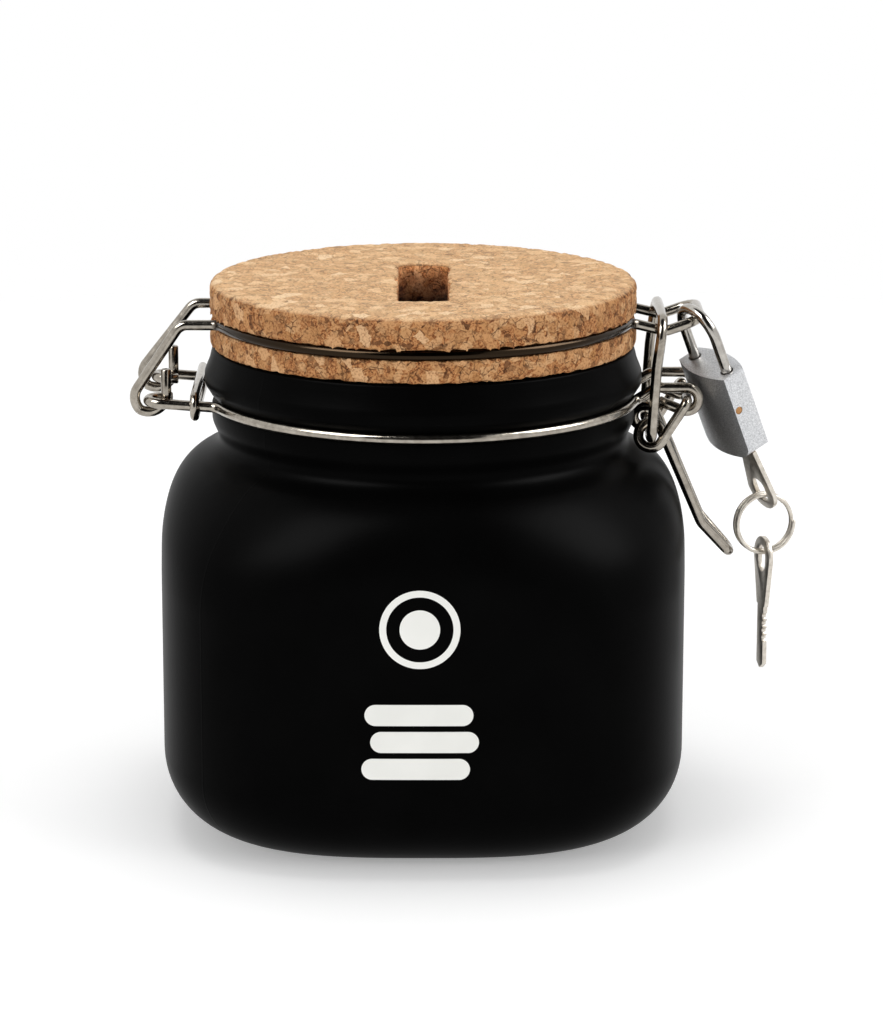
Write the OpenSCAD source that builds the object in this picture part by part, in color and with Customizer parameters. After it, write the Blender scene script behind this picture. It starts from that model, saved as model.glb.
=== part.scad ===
// Money box: a rounded square jar with a cork lid on a wire hinge, a wire lever clasp,
// and a small padlock with two keys on a split ring.
// Millimetres, +Z up. The origin is the middle of the base on the jar's axis. The hinge
// is at -X, the clasp at +X, and the front face looks along -Y.

/* [Jar] */
// Width of the shoulder, from the neck to the body's flat face
shoulder_w = 11.3; // [10:0.1:12.5]
// Squareness of the body's plan, 2 is round and larger is squarer
body_square = 3.07; // [2.6:0.01:3.6]
// Inset of the flat base from the body's side
base_inset = 20; // [14:0.5:24]
// Height of the rounding above the base
base_round_h = 18; // [12:0.5:22]
// Height where the body starts to draw in to the neck
shoulder_z = 64; // [58:0.5:70]
// Height where the shoulder meets the neck
neck_root_z = 83; // [80:0.5:86]
// Thickness of the body's wall
wall = 4.5; // [3:0.1:6]
// Thickness of the floor
floor_t = 6; // [4:0.1:9]

/* [Neck] */
// Radius of the neck
neck_r = 47.2; // [44:0.1:51]
// How far the bead above the neck wire stands out
bead_out = 1.6; // [0.8:0.1:2]
// Height of the middle of the bead
bead_z = 99.6; // [99:0.1:101]
// Height of the rim that the lid sits on
rim_z = 106.8; // [105.5:0.1:107.6]
// Thickness of the neck's wall
neck_wall = 5.2; // [4.4:0.1:5.6]
// Half height of the bead's flat face
bead_half = 1.2; // [0.8:0.1:1.6]
// Height of the groove for the neck wire
neck_groove_z = 95.3; // [94.6:0.1:96]
// Depth of the waist between the shoulder and the neck wire
neck_waist = 1.4; // [0:0.1:1.6]
// Depth of the groove for the neck wire
neck_groove_d = 0.85; // [0.6:0.05:1]

/* [Cork lid] */
// How far the cork disc stands out over the neck
lid_over = 0.3; // [-0.4:0.1:1.2]
// Thickness of the cork disc
lid_t = 14.2; // [13:0.1:16]
// Rounding of the disc's top edge
lid_round = 2.5; // [1:0.1:4]
// Height of the wire groove above the disc's underside
lid_groove_h = 6.1; // [5.5:0.1:6.6]
// Depth of the plug below the disc
plug_h = 7; // [4:0.1:8]
// Gap between the plug and the mouth, under the disc
plug_clear = 1.4; // [0.8:0.1:2]
// How much smaller the plug's radius is at its foot
plug_taper = 2.2; // [1:0.1:3]
// Width of the coin slot
slot_w = 11; // [8:0.5:14]
// Length of the coin slot
slot_l = 45; // [34:0.5:50]
// Offset of the coin slot towards the front
slot_shift = 4; // [0:0.5:8]
// Corner radius of the coin slot
slot_corner = 2; // [1:0.1:3]

/* [Wires] */
// Diameter of the spring wire
wire_d = 2.3; // [2.1:0.05:2.4]
// Diameter of the clamp ring's wire
clamp_wire_d = 2; // [1.6:0.1:2.2]
// Inner radius left round a wire that turns in a loop
loop_bore = 1.5; // [1.45:0.01:1.6]
// Distance of the hinge axis from the neck
hinge_out = 13.4; // [12.6:0.1:14.4]
// Height of the hinge axis above the neck wire's groove
hinge_rise = 1.1; // [0.6:0.1:1.4]
// Half distance between the two hinge hooks
hinge_half = 13; // [12:0.1:14]
// Half width of a hinge loop, centre of wire to centre of wire
hinge_loop = 3; // [2.85:0.05:3.3]
// Length of the stub that ends a hinge loop
hinge_stub = 5.2; // [4:0.1:6]
// Radius of the hook round the hinge axis
hook_r = 3.95; // [3.6:0.05:4.3]
// Height of the hook's free end above the hinge axis
hook_tail = 7; // [5.5:0.1:8]
// Distance of the corner above the front hook from the neck
hook_corner_out = 6.2; // [5:0.1:7]
// How much nearer to the neck the corner above the back hook is, as the wire was bent
hook_corner_skew = 1.5; // [0:0.1:2]
// Radius of the tight corners in the wires
corner_r = 3; // [2.6:0.1:3.2]
// Radius of the corners where the lid's ring turns off to its arms
arm_corner_r = 2.7; // [2.4:0.1:3]
// Radius of the corner where the neck's ring turns off to the clasp
clasp_corner_r = 2.1; // [1.8:0.1:2.4]
// Distance of the clamp ring from the neck
clamp_out = 3; // [2.9:0.1:5]

/* [Clasp] */
// Half distance between the strands of the lid's eye
eye_half = 10; // [9.4:0.1:10.4]
// Distance of the low point of the lid's eye from the neck
eye_low_out = 6.3; // [5.8:0.1:7]
// Drop of the lid's eye below the wire groove
eye_drop = 1.9; // [1:0.1:2.5]
// Distance of the eye's tip from the neck
eye_tip_out = 14; // [13.8:0.1:15.2]
// Rise of the eye's tip above its low point
eye_rise = 2.7; // [2:0.1:3.4]
// Corner radius of the lid's eye
eye_corner_r = 4; // [3.5:0.1:5]
// Distance of the lever's pivot from the neck
pivot_out = 11.2; // [10.4:0.1:11.6]
// Height of the lever's pivot
pivot_z = 95.6; // [95:0.1:96.2]
// Distance from the neck where the neck wire rises to the lever's pivot
rise_out = 4.4; // [4:0.1:4.8]
// Length of the free end of a clasp loop
loop_tail = 5.6; // [4:0.1:6]
// Direction of the free end of a clasp loop, degrees up from +X
loop_tail_dir = 157; // [150:1:165]
// Half distance between the neck wire's clasp loops
clasp_half = 8.6; // [8.2:0.1:9]
// Distance of the lever's curl from the neck
curl_out = 3.2; // [2.9:0.1:3.8]
// Height of the lever's curl
curl_z = 87.8; // [87:0.1:89]
// Sideways step between neighbouring wires in the clasp
clasp_step = 2.7; // [2.65:0.05:3]
// Distance of the bend in the lever's handle from the body's face
handle_out = 3.9; // [3:0.1:5.5]
// Height of the bend in the lever's handle
handle_bend_z = 66.5; // [64:0.1:69]
// Distance of the handle's tip from the body's face
handle_tip_out = 10.5; // [8.5:0.1:12]
// Height of the handle's tip
handle_tip_z = 59.1; // [56:0.1:61]
// Half width of the handle at its tip
handle_tip_half = 2.5; // [2.3:0.1:4]
// Half width of the handle at its bend
handle_bend_half = 4.5; // [4:0.1:6]
// Radius of the bend in the lever's handle
handle_bend_r = 4.5; // [3:0.1:6]
// Radius of the handle's rounded tip
handle_tip_r = 2.3; // [2:0.1:2.3]
// Distance of the bail's top bar from the neck
bail_out = 5.5; // [5:0.1:5.8]
// Distance of the bail's knee from the neck
bail_knee_out = 4.2; // [3.8:0.1:4.8]
// Height of the bail's knee
bail_knee_z = 103.8; // [102:0.1:105]
// Radius of the bail's knee
bail_knee_r = 6; // [5:0.1:8]
// Corner radius of the bail
bail_corner_r = 4.5; // [4:0.1:5]

/* [Padlock] */
// Height of the padlock's body
padlock_h = 21.2; // [20.6:0.1:23]
// Width of the padlock's body
padlock_w = 17.5; // [17:0.1:18.5]
// Thickness of the body in its middle
padlock_t = 9; // [8.8:0.1:9.4]
// Thickness of the body at its narrow sides
padlock_side_t = 5.4; // [5:0.1:5.8]
// Rounding of the body's lower corners
padlock_round = 2.6; // [1.5:0.1:3.5]
// Distance between the shackle's legs
shackle_w = 12.4; // [12.2:0.1:12.8]
// Diameter of the shackle
shackle_d = 2.4; // [2.2:0.1:2.5]
// Straight length of the shackle above the body
shackle_rise = 8.2; // [7.8:0.1:9.6]
// Depth of the long leg in the body
long_leg = 15.5; // [13:0.1:16]
// Depth of the short leg in the body
short_leg = 4.2; // [4.1:0.1:4.3]
// Lean of the padlock out from the jar
padlock_lean = 25.3; // [24:0.1:28]
// Roll of the padlock in its own plane
padlock_roll = 5.2; // [4:0.1:7]
// Turn of the padlock about the vertical
padlock_turn = -59.3; // [-61:0.1:-58]

/* [Lock cylinder] */
// Radius of the turning plug
plug_r = 3; // [2.95:0.01:3.1]
// Length of the turning plug
plug_l = 15.6; // [15:0.1:15.7]
// Offset of the plug from the body's middle towards the short leg
plug_shift = 3.5; // [3.3:0.1:3.7]
// Distance of the first wafer from the plug's outer end
wafer_inset = 1.2; // [1:0.1:1.6]
// Thickness of a wafer
wafer_t = 0.6; // [0.5:0.05:0.7]
// Distance between wafers
wafer_pitch = 1.7; // [1.5:0.05:1.8]
// Length of a wafer across the plug
wafer_l = 5; // [4.9:0.05:5.1]
// Width of a wafer
wafer_w = 2.6; // [2.4:0.05:2.7]
// Thickness of a wafer's frame round the key
wafer_rim = 0.3; // [0.25:0.01:0.35]
// Depth of the latch's nose in the shackle's notch
latch_nose = 0.7; // [0.6:0.05:0.7]
// Slope of the latch's nose and of the notch, rise per unit of depth
latch_slope = 1.82; // [1.6:0.01:2]
// Height of the latch
latch_h = 1.7; // [1.6:0.05:1.8]
// Width of the latch
latch_w = 2.2; // [1.9:0.05:2.4]
// Length of the latch without its nose
latch_l = 4; // [3.6:0.1:4.2]
// Depth of the latch's upper face below the body's top
latch_z = 1.6; // [1.5:0.05:1.6]
// Diameter of the latch spring's wire
spring_wire_d = 0.35; // [0.3:0.01:0.4]
// Outer diameter of the latch spring
spring_d = 1.9; // [1.7:0.05:2]
// Turns of the latch spring
spring_turns = 4; // [3:1:5]
// Diameter of the retaining pin
pin_d = 1.7; // [1.4:0.1:1.8]
// Length of the retaining pin
pin_l = 2.65; // [2.55:0.05:2.7]
// Height of the retaining pin above the body's foot
pin_up = 12.4; // [11.6:0.1:12.8]
// Offset of the retaining pin from the middle of the narrow side
pin_shift = 1.6; // [1.55:0.05:1.7]
// Depth of the plug's groove that the retaining pin stands in
pin_groove = 0.6; // [0.55:0.01:0.65]

/* [Keys] */
// Thickness of a key
key_t = 1.1; // [1:0.05:1.2]
// Width of a key's blade
blade_w = 3.7; // [3.4:0.05:3.8]
// Length of a key's blade
blade_l = 14.2; // [13.4:0.1:14.3]
// Length of a key's bow
bow_l = 16.6; // [15.6:0.1:17.6]
// Width of a key's bow
bow_w = 9.6; // [9:0.1:10.4]
// Width of the hole in a key's bow
bow_hole_w = 4.4; // [4.2:0.05:4.8]
// Length of the hole in a key's bow
bow_hole_l = 6; // [5.4:0.1:6.4]
// Metal between the hole and the end of the bow
bow_rim = 2; // [1.6:0.1:2.4]
// Mean radius of the split ring
ring_r = 6.6; // [6.2:0.1:7]
// Diameter of the split ring's wire
ring_wire_d = 1; // [0.9:0.05:1.05]
// Advance of the split ring in one turn
ring_pitch = 1.46; // [1.46:0.01:1.5]
// Turns of the split ring
ring_turns = 1.9; // [1.6:0.1:1.9]
// Height of the ring's wire over the end of a bow's hole
ring_lift = 1.5; // [1.4:0.05:1.7]
// Turn of the split ring about the vertical
ring_turn = 16; // [13:0.5:19]
// Place of the split ring's end round the ring
ring_end = 40; // [30:1:50]

/* [Fits] */
// Gap between pieces that move against each other
run_gap = 0.3; // [0.25:0.01:0.35]
// Gap between pieces that are seated in each other
seat_gap = 0.1; // [0.05:0.01:0.15]

/* [Hidden] */
$fn = 48;

black = "#141414";
cork = "#cda77e";
steel = "#c4c0b8";
lock_grey = "#a9adb1";
brass = "#c9955a";
nickel = "#cfc9bf";

// A wire's tube: sides round it, degrees in one step of a wide or a tight bend
wire_sides = 12;
wide_bend = 20;
wide_step = 7.5;
tight_step = 22.5;
least_step = 0.05;

// Overlap of a cutting shape past the face that it cuts
over = 1;
// A direction that no wire runs along
any_side = [0.31, 0.47, 0.83];

wire_r = wire_d / 2;
half_w = neck_r + shoulder_w;
bead_r = neck_r + bead_out;
mouth_r = neck_r - neck_wall;
lid_r = neck_r + lid_over;
plug_top_r = mouth_r - plug_clear;
plug_foot_r = plug_top_r - plug_taper;
lid_z = rim_z + run_gap;
lid_top = lid_z + lid_t;
lid_wire_z = lid_z + lid_groove_h;
// The lid's wire stands a little proud of the cork
lid_wire_proud = 0.15;
lid_ring_r = lid_r + lid_wire_proud - wire_r;
// The neck's wire lies in a shallow groove
neck_groove_r = neck_r - neck_groove_d;
neck_ring_r = neck_groove_r + wire_r + seat_gap;

// Places along X, from the neck or from the body's face
hinge_x = neck_r + hinge_out;
hook_corner_x = neck_r + hook_corner_out;
clamp_x = neck_r + clamp_out;
eye_low_x = neck_r + eye_low_out;
eye_tip_x = neck_r + eye_tip_out;
pivot_x = neck_r + pivot_out;
rise_x = neck_r + rise_out;
curl_x = neck_r + curl_out;
bail_x = neck_r + bail_out;
bail_knee_x = neck_r + bail_knee_out;
handle_bend_x = half_w + handle_out;
handle_tip_x = half_w + handle_tip_out;

hinge_z = neck_groove_z + hinge_rise;
// The hook's curve stands above the hinge axis, so that its bottom is close under the neck wire
hook_z = hinge_z + hook_r - wire_d - run_gap;
loop_r = loop_bore + wire_r;
lever_half = clasp_half + clasp_step;
bail_half = lever_half + clasp_step;
eye_low_z = lid_wire_z - eye_drop;
eye_tip_z = eye_low_z + eye_rise;
// Height of the lid eye's strand under the bail, and of the bail that rests on it
eye_start_x = sqrt(pow(lid_ring_r + corner_r, 2) - pow(eye_half + corner_r, 2));
strand_z = eye_low_z + eye_drop * (eye_low_x - bail_x) / (eye_low_x - eye_start_x);
bail_z = strand_z + wire_d + run_gap;

// The point on the lid's eye that the shackle hangs on
eye_slope = eye_rise / (eye_tip_x - eye_low_x);
corner_inset = eye_corner_r * (1 - cos(45));
hang_point = [eye_tip_x - corner_inset, corner_inset - eye_half, eye_tip_z - eye_slope * corner_inset];
shackle_r = shackle_d / 2;
bow_r = shackle_w / 2;
hang_h = shackle_rise + bow_r - shackle_r - wire_r - run_gap;
leg_hole_r = shackle_r + run_gap;
key_z = -padlock_h - run_gap;
pin_depth = padlock_h - pin_up;
latch_x = bow_r - shackle_r - run_gap;
pocket_x = -bow_r + leg_hole_r + run_gap;

// Where the split ring hangs in the bow of the key in the lock
hole_bottom = -bow_l + bow_rim;
ring_seat = [plug_shift, 0, key_z + hole_bottom + ring_lift];

function unit(v) = v / norm(v);
function flip(v) = [v.x, -v.y, v.z];
function mirrored(points) = [for (i = [len(points) - 1:-1:0]) flip(points[i])];
function backwards(list) = [for (i = [len(list) - 1:-1:0]) list[i]];
function turn_at(a, v, b) = acos(max(-1, min(1, unit(v - a) * unit(b - v))));

// Corner points of a bend of the given radius round a centre in an upright plane, from one
// heading to another clockwise, with the plane's sideways place changing evenly
function curl_points(centre, radius, heading, turn, steps, y0, y1) = [for (i = [0:steps - 1])
    let (half = turn / steps / 2, a = heading - half - i * 2 * half + 90, d = radius / cos(half))
    [centre.x + d * cos(a), y0 + (y1 - y0) * i / (steps - 1), centre.y + d * sin(a)]];

// Corner where a straight arm beside the axis runs into a ring, on the side given by its sign
function ring_angle(ring, y) = asin((y + corner_r) / (ring + corner_r));
function ring_corner(ring, y, side, z) = let (a = ring_angle(ring, y))
    [side * (ring - y * sin(a)) / cos(a), -y, z];
// Corner whose bend of the ring's radius is the ring's front stretch between two arms
function ring_vertex(ring, y_left, y_right, z) =
    let (left = 180 + ring_angle(ring, y_left), right = 360 - ring_angle(ring, y_right),
        middle = (left + right) / 2, d = ring / cos((right - left) / 2))
    [d * cos(middle), d * sin(middle), z];

// Points and headings along one bend, from its start to its end
function bend_samples(a, v, b, bend) = let (along = unit(v - a), after = unit(b - v), turn = turn_at(a, v, b),
        inward = unit(after - along * (along * after)),
        centre = v - along * bend * tan(turn / 2) + inward * bend,
        steps = ceil(turn / (bend > wide_bend ? wide_step : tight_step)))
    [for (k = [0:steps]) let (t = turn * k / steps)
        [centre - inward * bend * cos(t) + along * bend * sin(t), along * cos(t) + inward * sin(t)]];

// Points and headings along a wire whose corners are each bent to their own radius
function wire_samples(points, bends) = let (last = len(points) - 1, all = concat(
        [[points[0], unit(points[1] - points[0])]],
        [for (i = [1:last - 1]) each bend_samples(points[i - 1], points[i], points[i + 1], bends[i])],
        [[points[last], unit(points[last] - points[last - 1])]]))
    [for (i = [0:last_of(all)]) if (i == 0 || norm(all[i][0] - all[i - 1][0]) > least_step) all[i]];
function last_of(list) = len(list) - 1;

// Sideways direction at each point, carried along the wire without twist
function square_to(d, v) = unit(v - d * (d * v));
function carried_sides(samples) = [for (i = 0, v = square_to(samples[0][1], any_side);
    i < len(samples); i = i + 1, v = i < len(samples) ? square_to(samples[i][1], v) : v) v];

// One closed tube along points with headings
module tube(samples, r, n) {
    last = last_of(samples);
    across = carried_sides(samples);
    points = [for (i = [0:last]) let (up = cross(across[i], samples[i][1])) for (k = [0:n - 1])
        samples[i][0] + r * (cos(360 * k / n) * across[i] + sin(360 * k / n) * up)];
    faces = concat(
        [for (i = [0:last - 1], k = [0:n - 1]) let (m = (k + 1) % n)
            each [[i * n + k, (i + 1) * n + k, i * n + m], [i * n + m, (i + 1) * n + k, (i + 1) * n + m]]],
        [for (k = [1:n - 2]) each [[0, k, k + 1], [last * n, last * n + k + 1, last * n + k]]]);
    polyhedron(points, faces, convexity = 8);
}

module wire(points, bends) { tube(wire_samples(points, bends), wire_r, wire_sides); }

// A ring of points on the body's plan: half width, height and squareness
sides = 48;
function plan_ring(p) = [for (i = [0:sides - 1]) let (a = 360 * i / sides,
    r = p[0] / pow(pow(abs(cos(a)), p[2]) + pow(abs(sin(a)), p[2]), 1 / p[2]))
    [r * cos(a), r * sin(a), p[1]]];

arc_steps = [0:15:90];
// The plan turns evenly from square to round, starting a little below the shoulder
blend_drop = 8;
blend_z = shoulder_z - blend_drop;
blend_steps = [0:blend_drop / 3:blend_drop - 1];
function even(s) = s * s * (3 - 2 * s);
function squareness(z) = body_square
    + (2 - body_square) * even(max(0, min(1, (z - blend_z) / (neck_root_z - blend_z))));
function squared(p) = [p.x, p.y, squareness(p.y)];
groove_half = wire_r + seat_gap;
rim_round = 0.7;
neck_swell = 0.2;
// The neck's waist: share of its depth, and height above the neck's root
waist_rings = [[0.65, 1.6], [1, 3.2], [0.85, 5], [0.35, 6.4], [0, 8]];
jar_outside = [for (p = concat(
    [for (t = arc_steps) [half_w - base_inset * (1 - sin(t)), base_round_h * (1 - cos(t))]],
    [for (d = blend_steps) [half_w, blend_z + d]],
    [for (t = arc_steps) [neck_r + (half_w - neck_r) * cos(t),
        shoulder_z + (neck_root_z - shoulder_z) * sin(t)]],
    [for (w = waist_rings) [neck_r - neck_waist * w[0], neck_root_z + w[1]]],
    [[neck_r, neck_groove_z - groove_half], [neck_groove_r, neck_groove_z - groove_half / 2],
    [neck_groove_r, neck_groove_z + groove_half / 2], [neck_r + neck_swell, neck_groove_z + groove_half],
    [bead_r, bead_z - bead_half], [bead_r, bead_z + bead_half],
    [neck_r + neck_swell, rim_z - 3 * rim_round], [neck_r - neck_swell, rim_z - rim_round],
    [neck_r - rim_round, rim_z]])) squared(p)];
inside_w = half_w - wall;
jar_inside = [for (p = concat(
    [[mouth_r + rim_round, rim_z], [mouth_r, rim_z - rim_round], [mouth_r, neck_root_z]],
    [for (t = [90:-15:0]) [mouth_r + (inside_w - mouth_r) * cos(t),
        shoulder_z + (neck_root_z - wall / 2 - shoulder_z) * sin(t)]],
    [for (d = blend_steps) [inside_w, shoulder_z - blend_drop / 3 - d]],
    [for (t = [90:-15:0]) [inside_w - base_inset * (1 - sin(t)),
        floor_t + base_round_h * (1 - cos(t))]])) squared(p)];

module jar() {
    rings = [for (p = concat(jar_outside, jar_inside)) plan_ring(p)];
    n = len(rings);
    points = concat([for (ring = rings) each ring], [[0, 0, 0], [0, 0, floor_t]]);
    walls = [for (k = [0:n - 2], i = [0:sides - 1]) let (j = (i + 1) % sides)
        each [[k * sides + i, (k + 1) * sides + i, k * sides + j],
            [k * sides + j, (k + 1) * sides + i, (k + 1) * sides + j]]];
    ends = [for (i = [0:sides - 1]) let (j = (i + 1) % sides)
        each [[n * sides, i, j], [n * sides + 1, (n - 1) * sides + j, (n - 1) * sides + i]]];
    color(black) polyhedron(points, concat(walls, ends), convexity = 8);
}

// Half of the neck wire: hinge loop, front half of the ring and clasp loop
module neck_wire_half() {
    arm = hinge_half + hinge_loop;
    inner = hinge_half - hinge_loop;
    z = neck_groove_z;
    top = hinge_z;
    loop = curl_points([pivot_x, pivot_z], loop_r, 0, 360 - loop_tail_dir, 3, -clasp_half, -clasp_half);
    tail = [pivot_x - loop_r * sin(loop_tail_dir), -clasp_half, pivot_z + loop_r * cos(loop_tail_dir)];
    points = concat(
        [[hinge_stub - hinge_x, -inner, top], [-hinge_x, -inner, top], [-hinge_x, -arm, top],
        ring_corner(neck_ring_r, arm, -1, z), ring_vertex(neck_ring_r, arm, clasp_half, z),
        ring_corner(neck_ring_r, clasp_half, 1, z), [rise_x, -clasp_half, pivot_z + loop_r]],
        loop, [tail + loop_tail * [cos(loop_tail_dir), 0, sin(loop_tail_dir)]]);
    bends = concat([0, hinge_loop, hinge_loop, corner_r, neck_ring_r, clasp_corner_r, corner_r],
        [for (p = loop) loop_r], [0]);
    wire(points, bends);
}

module neck_wire_front() { color(steel) neck_wire_half(); }

module neck_wire_back() { color(steel) mirror([0, 1, 0]) neck_wire_half(); }

// Oval ring that holds the two hinge arms to the neck
module neck_clamp_ring() {
    r = clamp_wire_d / 2;
    end_r = wire_r + r + seat_gap;
    y = hinge_half + hinge_loop;
    corner_x = -ring_corner(neck_ring_r, y, -1, 0).x;
    z = neck_groove_z + hinge_rise * (clamp_x - corner_x) / (hinge_x - corner_x);
    color(steel) translate([-clamp_x, 0, z]) {
        for (s = [-1, 1]) {
            translate([0, y, s * end_r]) rotate([90, 0, 0]) cylinder(h = 2 * y, r = r);
            translate([0, s * y, 0]) rotate([0, 90, 0]) rotate([0, 0, s * 90 - 90])
                rotate_extrude(angle = 180) translate([end_r, 0]) circle(r);
        }
    }
}

module slot_outline() {
    w = slot_w - 2 * slot_corner;
    l = slot_l - 2 * slot_corner;
    square([slot_w, l], center = true);
    square([w, slot_l], center = true);
    for (x = [-w / 2, w / 2], y = [-l / 2, l / 2]) translate([x, y]) circle(slot_corner);
}

// Cork disc with its plug, wire groove and coin slot
module cork_lid() {
    color(cork) difference() {
        rotate_extrude($fn = 96) {
            translate([0, lid_z]) square([lid_r - lid_round, lid_t]);
            translate([0, lid_z]) square([lid_r, lid_t - lid_round]);
            translate([lid_r - lid_round, lid_top - lid_round]) circle(lid_round);
            polygon([[0, lid_z - plug_h], [plug_foot_r, lid_z - plug_h], [plug_top_r, lid_z], [0, lid_z]]);
        }
        translate([0, 0, lid_wire_z]) rotate_extrude($fn = 96)
            translate([lid_ring_r, 0]) circle(wire_r + seat_gap);
        translate([0, -slot_shift, lid_z - plug_h - over])
            linear_extrude(plug_h + lid_t + 2 * over) slot_outline();
    }
}

// Half of the lid wire: hinge hook, half of the ring and half of the padlock's eye
function lid_wire_half(corner_x) = let (y = hinge_half, z = lid_wire_z,
    rise = [hinge_x - corner_x, z - hook_z],
    lean = atan2(rise.y, rise.x) + asin(hook_r / norm(rise)),
    hook = [for (p = curl_points([0, 0], hook_r, -lean - 180, 270 - lean, hook_steps, -y, -y))
        [-hinge_x + p.x, p.y, hook_z - p.z]])
    concat([[hook_r - hinge_x, -y, hinge_z + hook_tail]], backwards(hook),
        [[-corner_x, -y, z], ring_corner(lid_ring_r, y, -1, z), ring_vertex(lid_ring_r, y, eye_half, z),
        ring_corner(lid_ring_r, eye_half, 1, z), [eye_low_x, -eye_half, eye_low_z],
        [eye_tip_x, -eye_half, eye_tip_z]]);
hook_steps = 3;

// One wire, all round: front half and back half
module lid_wire() {
    bends = concat([0], [for (i = [1:hook_steps]) hook_r], [corner_r, arm_corner_r, lid_ring_r, arm_corner_r,
        corner_r, eye_corner_r]);
    back = lid_wire_half(hook_corner_x - hook_corner_skew);
    color(steel) wire(concat(lid_wire_half(hook_corner_x), mirrored(back)), concat(bends, backwards(bends)));
}

// Lever: pivot ends in the neck wire's loops, a curl for the bail on each side, and the handle
module lever() {
    pivot = [pivot_x, pivot_z];
    curl = [curl_x, curl_z];
    bend_point = [handle_bend_x, handle_bend_z];
    to_curl = curl - pivot;
    to_bend = bend_point - curl;
    start = atan2(to_curl.y, to_curl.x) + 360 + asin(loop_r / norm(to_curl));
    finish = atan2(to_bend.y, to_bend.x) - asin(loop_r / norm(to_bend));
    pin_end = clasp_half - wire_r - 2 * run_gap;
    pin_bend = wire_r + run_gap;
    turns = curl_points(curl, loop_r, start, start - finish, 4, -lever_half, -clasp_half);
    half = concat(
        [[pivot_x, -pin_end, pivot_z], [pivot_x, -lever_half, pivot_z]], turns,
        [[handle_bend_x, -handle_bend_half, handle_bend_z], [handle_tip_x, -handle_tip_half, handle_tip_z]]);
    bends = concat([0, pin_bend], [for (p = turns) loop_r], [handle_bend_r, handle_tip_r]);
    color(steel) wire(concat(half, mirrored(half)), concat(bends, backwards(bends)));
}

// Bail: its ends turn in the lever's curls and its bar lies over the lid's eye
module bail() {
    pin_end = clasp_half - wire_r - run_gap;
    half = [[curl_x, -pin_end, curl_z], [curl_x, -bail_half, curl_z], [bail_knee_x, -bail_half, bail_knee_z],
        [bail_x, -bail_half, bail_z]];
    bends = [0, wire_r + run_gap, bail_knee_r, bail_corner_r];
    color(steel) wire(concat(half, mirrored(half)), concat(bends, backwards(bends)));
}

// The padlock's own frame: origin in the middle of the body's top, legs along X, up along Z
module on_padlock() {
    translate(hang_point) rotate([padlock_lean, padlock_roll, padlock_turn])
        translate([0, 0, -hang_h]) children();
}

module padlock_shackle() {
    notch_tip = latch_nose + 2 * run_gap;
    notch_h = notch_tip * latch_slope;
    color(nickel) on_padlock() difference() {
        union() {
            translate([-bow_r, 0, -long_leg]) cylinder(h = long_leg + shackle_rise, r = shackle_r);
            translate([bow_r, 0, -short_leg]) cylinder(h = short_leg + shackle_rise, r = shackle_r);
            translate([0, 0, shackle_rise]) rotate([90, 0, 0])
                rotate_extrude(angle = 180) translate([bow_r, 0]) circle(shackle_r);
        }
        translate([bow_r - shackle_r, 0, -latch_z + run_gap]) rotate([90, 0, 0])
            linear_extrude(shackle_d * 2, center = true)
                polygon([[-over, 0], [notch_tip, 0], [0, -notch_h], [-over, -notch_h]]);
    }
}

// Plan of the body: narrow flat sides and bulging faces
module padlock_plan() {
    bulge = (padlock_t - padlock_side_t) / 2;
    r = (pow(padlock_w / 2, 2) + pow(bulge, 2)) / (2 * bulge);
    intersection() {
        square([padlock_w, padlock_t], center = true);
        translate([0, r - padlock_t / 2]) circle(r, $fn = 128);
        translate([0, padlock_t / 2 - r]) circle(r, $fn = 128);
    }
}

module padlock_face() {
    w = padlock_w / 2 - padlock_round;
    low = padlock_round - padlock_h;
    polygon(concat([[padlock_w / 2, 0], [-padlock_w / 2, 0]],
        [for (a = [180:15:270]) [padlock_round * cos(a) - w, low + padlock_round * sin(a)]],
        [for (a = [270:15:360]) [padlock_round * cos(a) + w, low + padlock_round * sin(a)]]));
}

module padlock_body() {
    pocket_l = bow_r - pocket_x;
    color(lock_grey) on_padlock() difference() {
        intersection() {
            translate([0, 0, -padlock_h]) linear_extrude(padlock_h) padlock_plan();
            rotate([90, 0, 0]) linear_extrude(padlock_t * 2, center = true) padlock_face();
        }
        translate([-bow_r, 0, -long_leg - run_gap]) cylinder(h = long_leg + over, r = leg_hole_r);
        translate([bow_r, 0, -short_leg - run_gap]) cylinder(h = short_leg + over, r = leg_hole_r);
        translate([pocket_x, -latch_w / 2 - run_gap, -latch_z - latch_h - run_gap])
            cube([pocket_l, latch_w + 2 * run_gap, latch_h + 2 * run_gap]);
        translate([plug_shift, 0, -padlock_h - over])
            cylinder(h = plug_l + over + run_gap, r = plug_r + run_gap);
        pin_place() translate([0, 0, -over]) cylinder(h = pin_l + 2 * over, r = pin_d / 2 + seat_gap / 2);
    }
}

// The retaining pin's bore, in the narrow side beside the plug's groove
module pin_place() {
    translate([padlock_w / 2 - pin_l, -pin_shift, -pin_depth]) rotate([0, 90, 0]) children();
}

module padlock_retaining_pin() { color(brass) on_padlock() pin_place() cylinder(h = pin_l, r = pin_d / 2); }

// Latch: a block whose sloped nose stands in the short leg's notch
module padlock_latch() {
    color(brass) on_padlock() translate([latch_x, 0, -latch_z]) rotate([90, 0, 0])
        linear_extrude(latch_w, center = true)
            polygon([[-latch_l, -latch_h], [-latch_l, 0], [latch_nose + run_gap, 0],
                [run_gap, -latch_nose * latch_slope], [0, -latch_nose * latch_slope], [0, -latch_h]]);
}

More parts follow.
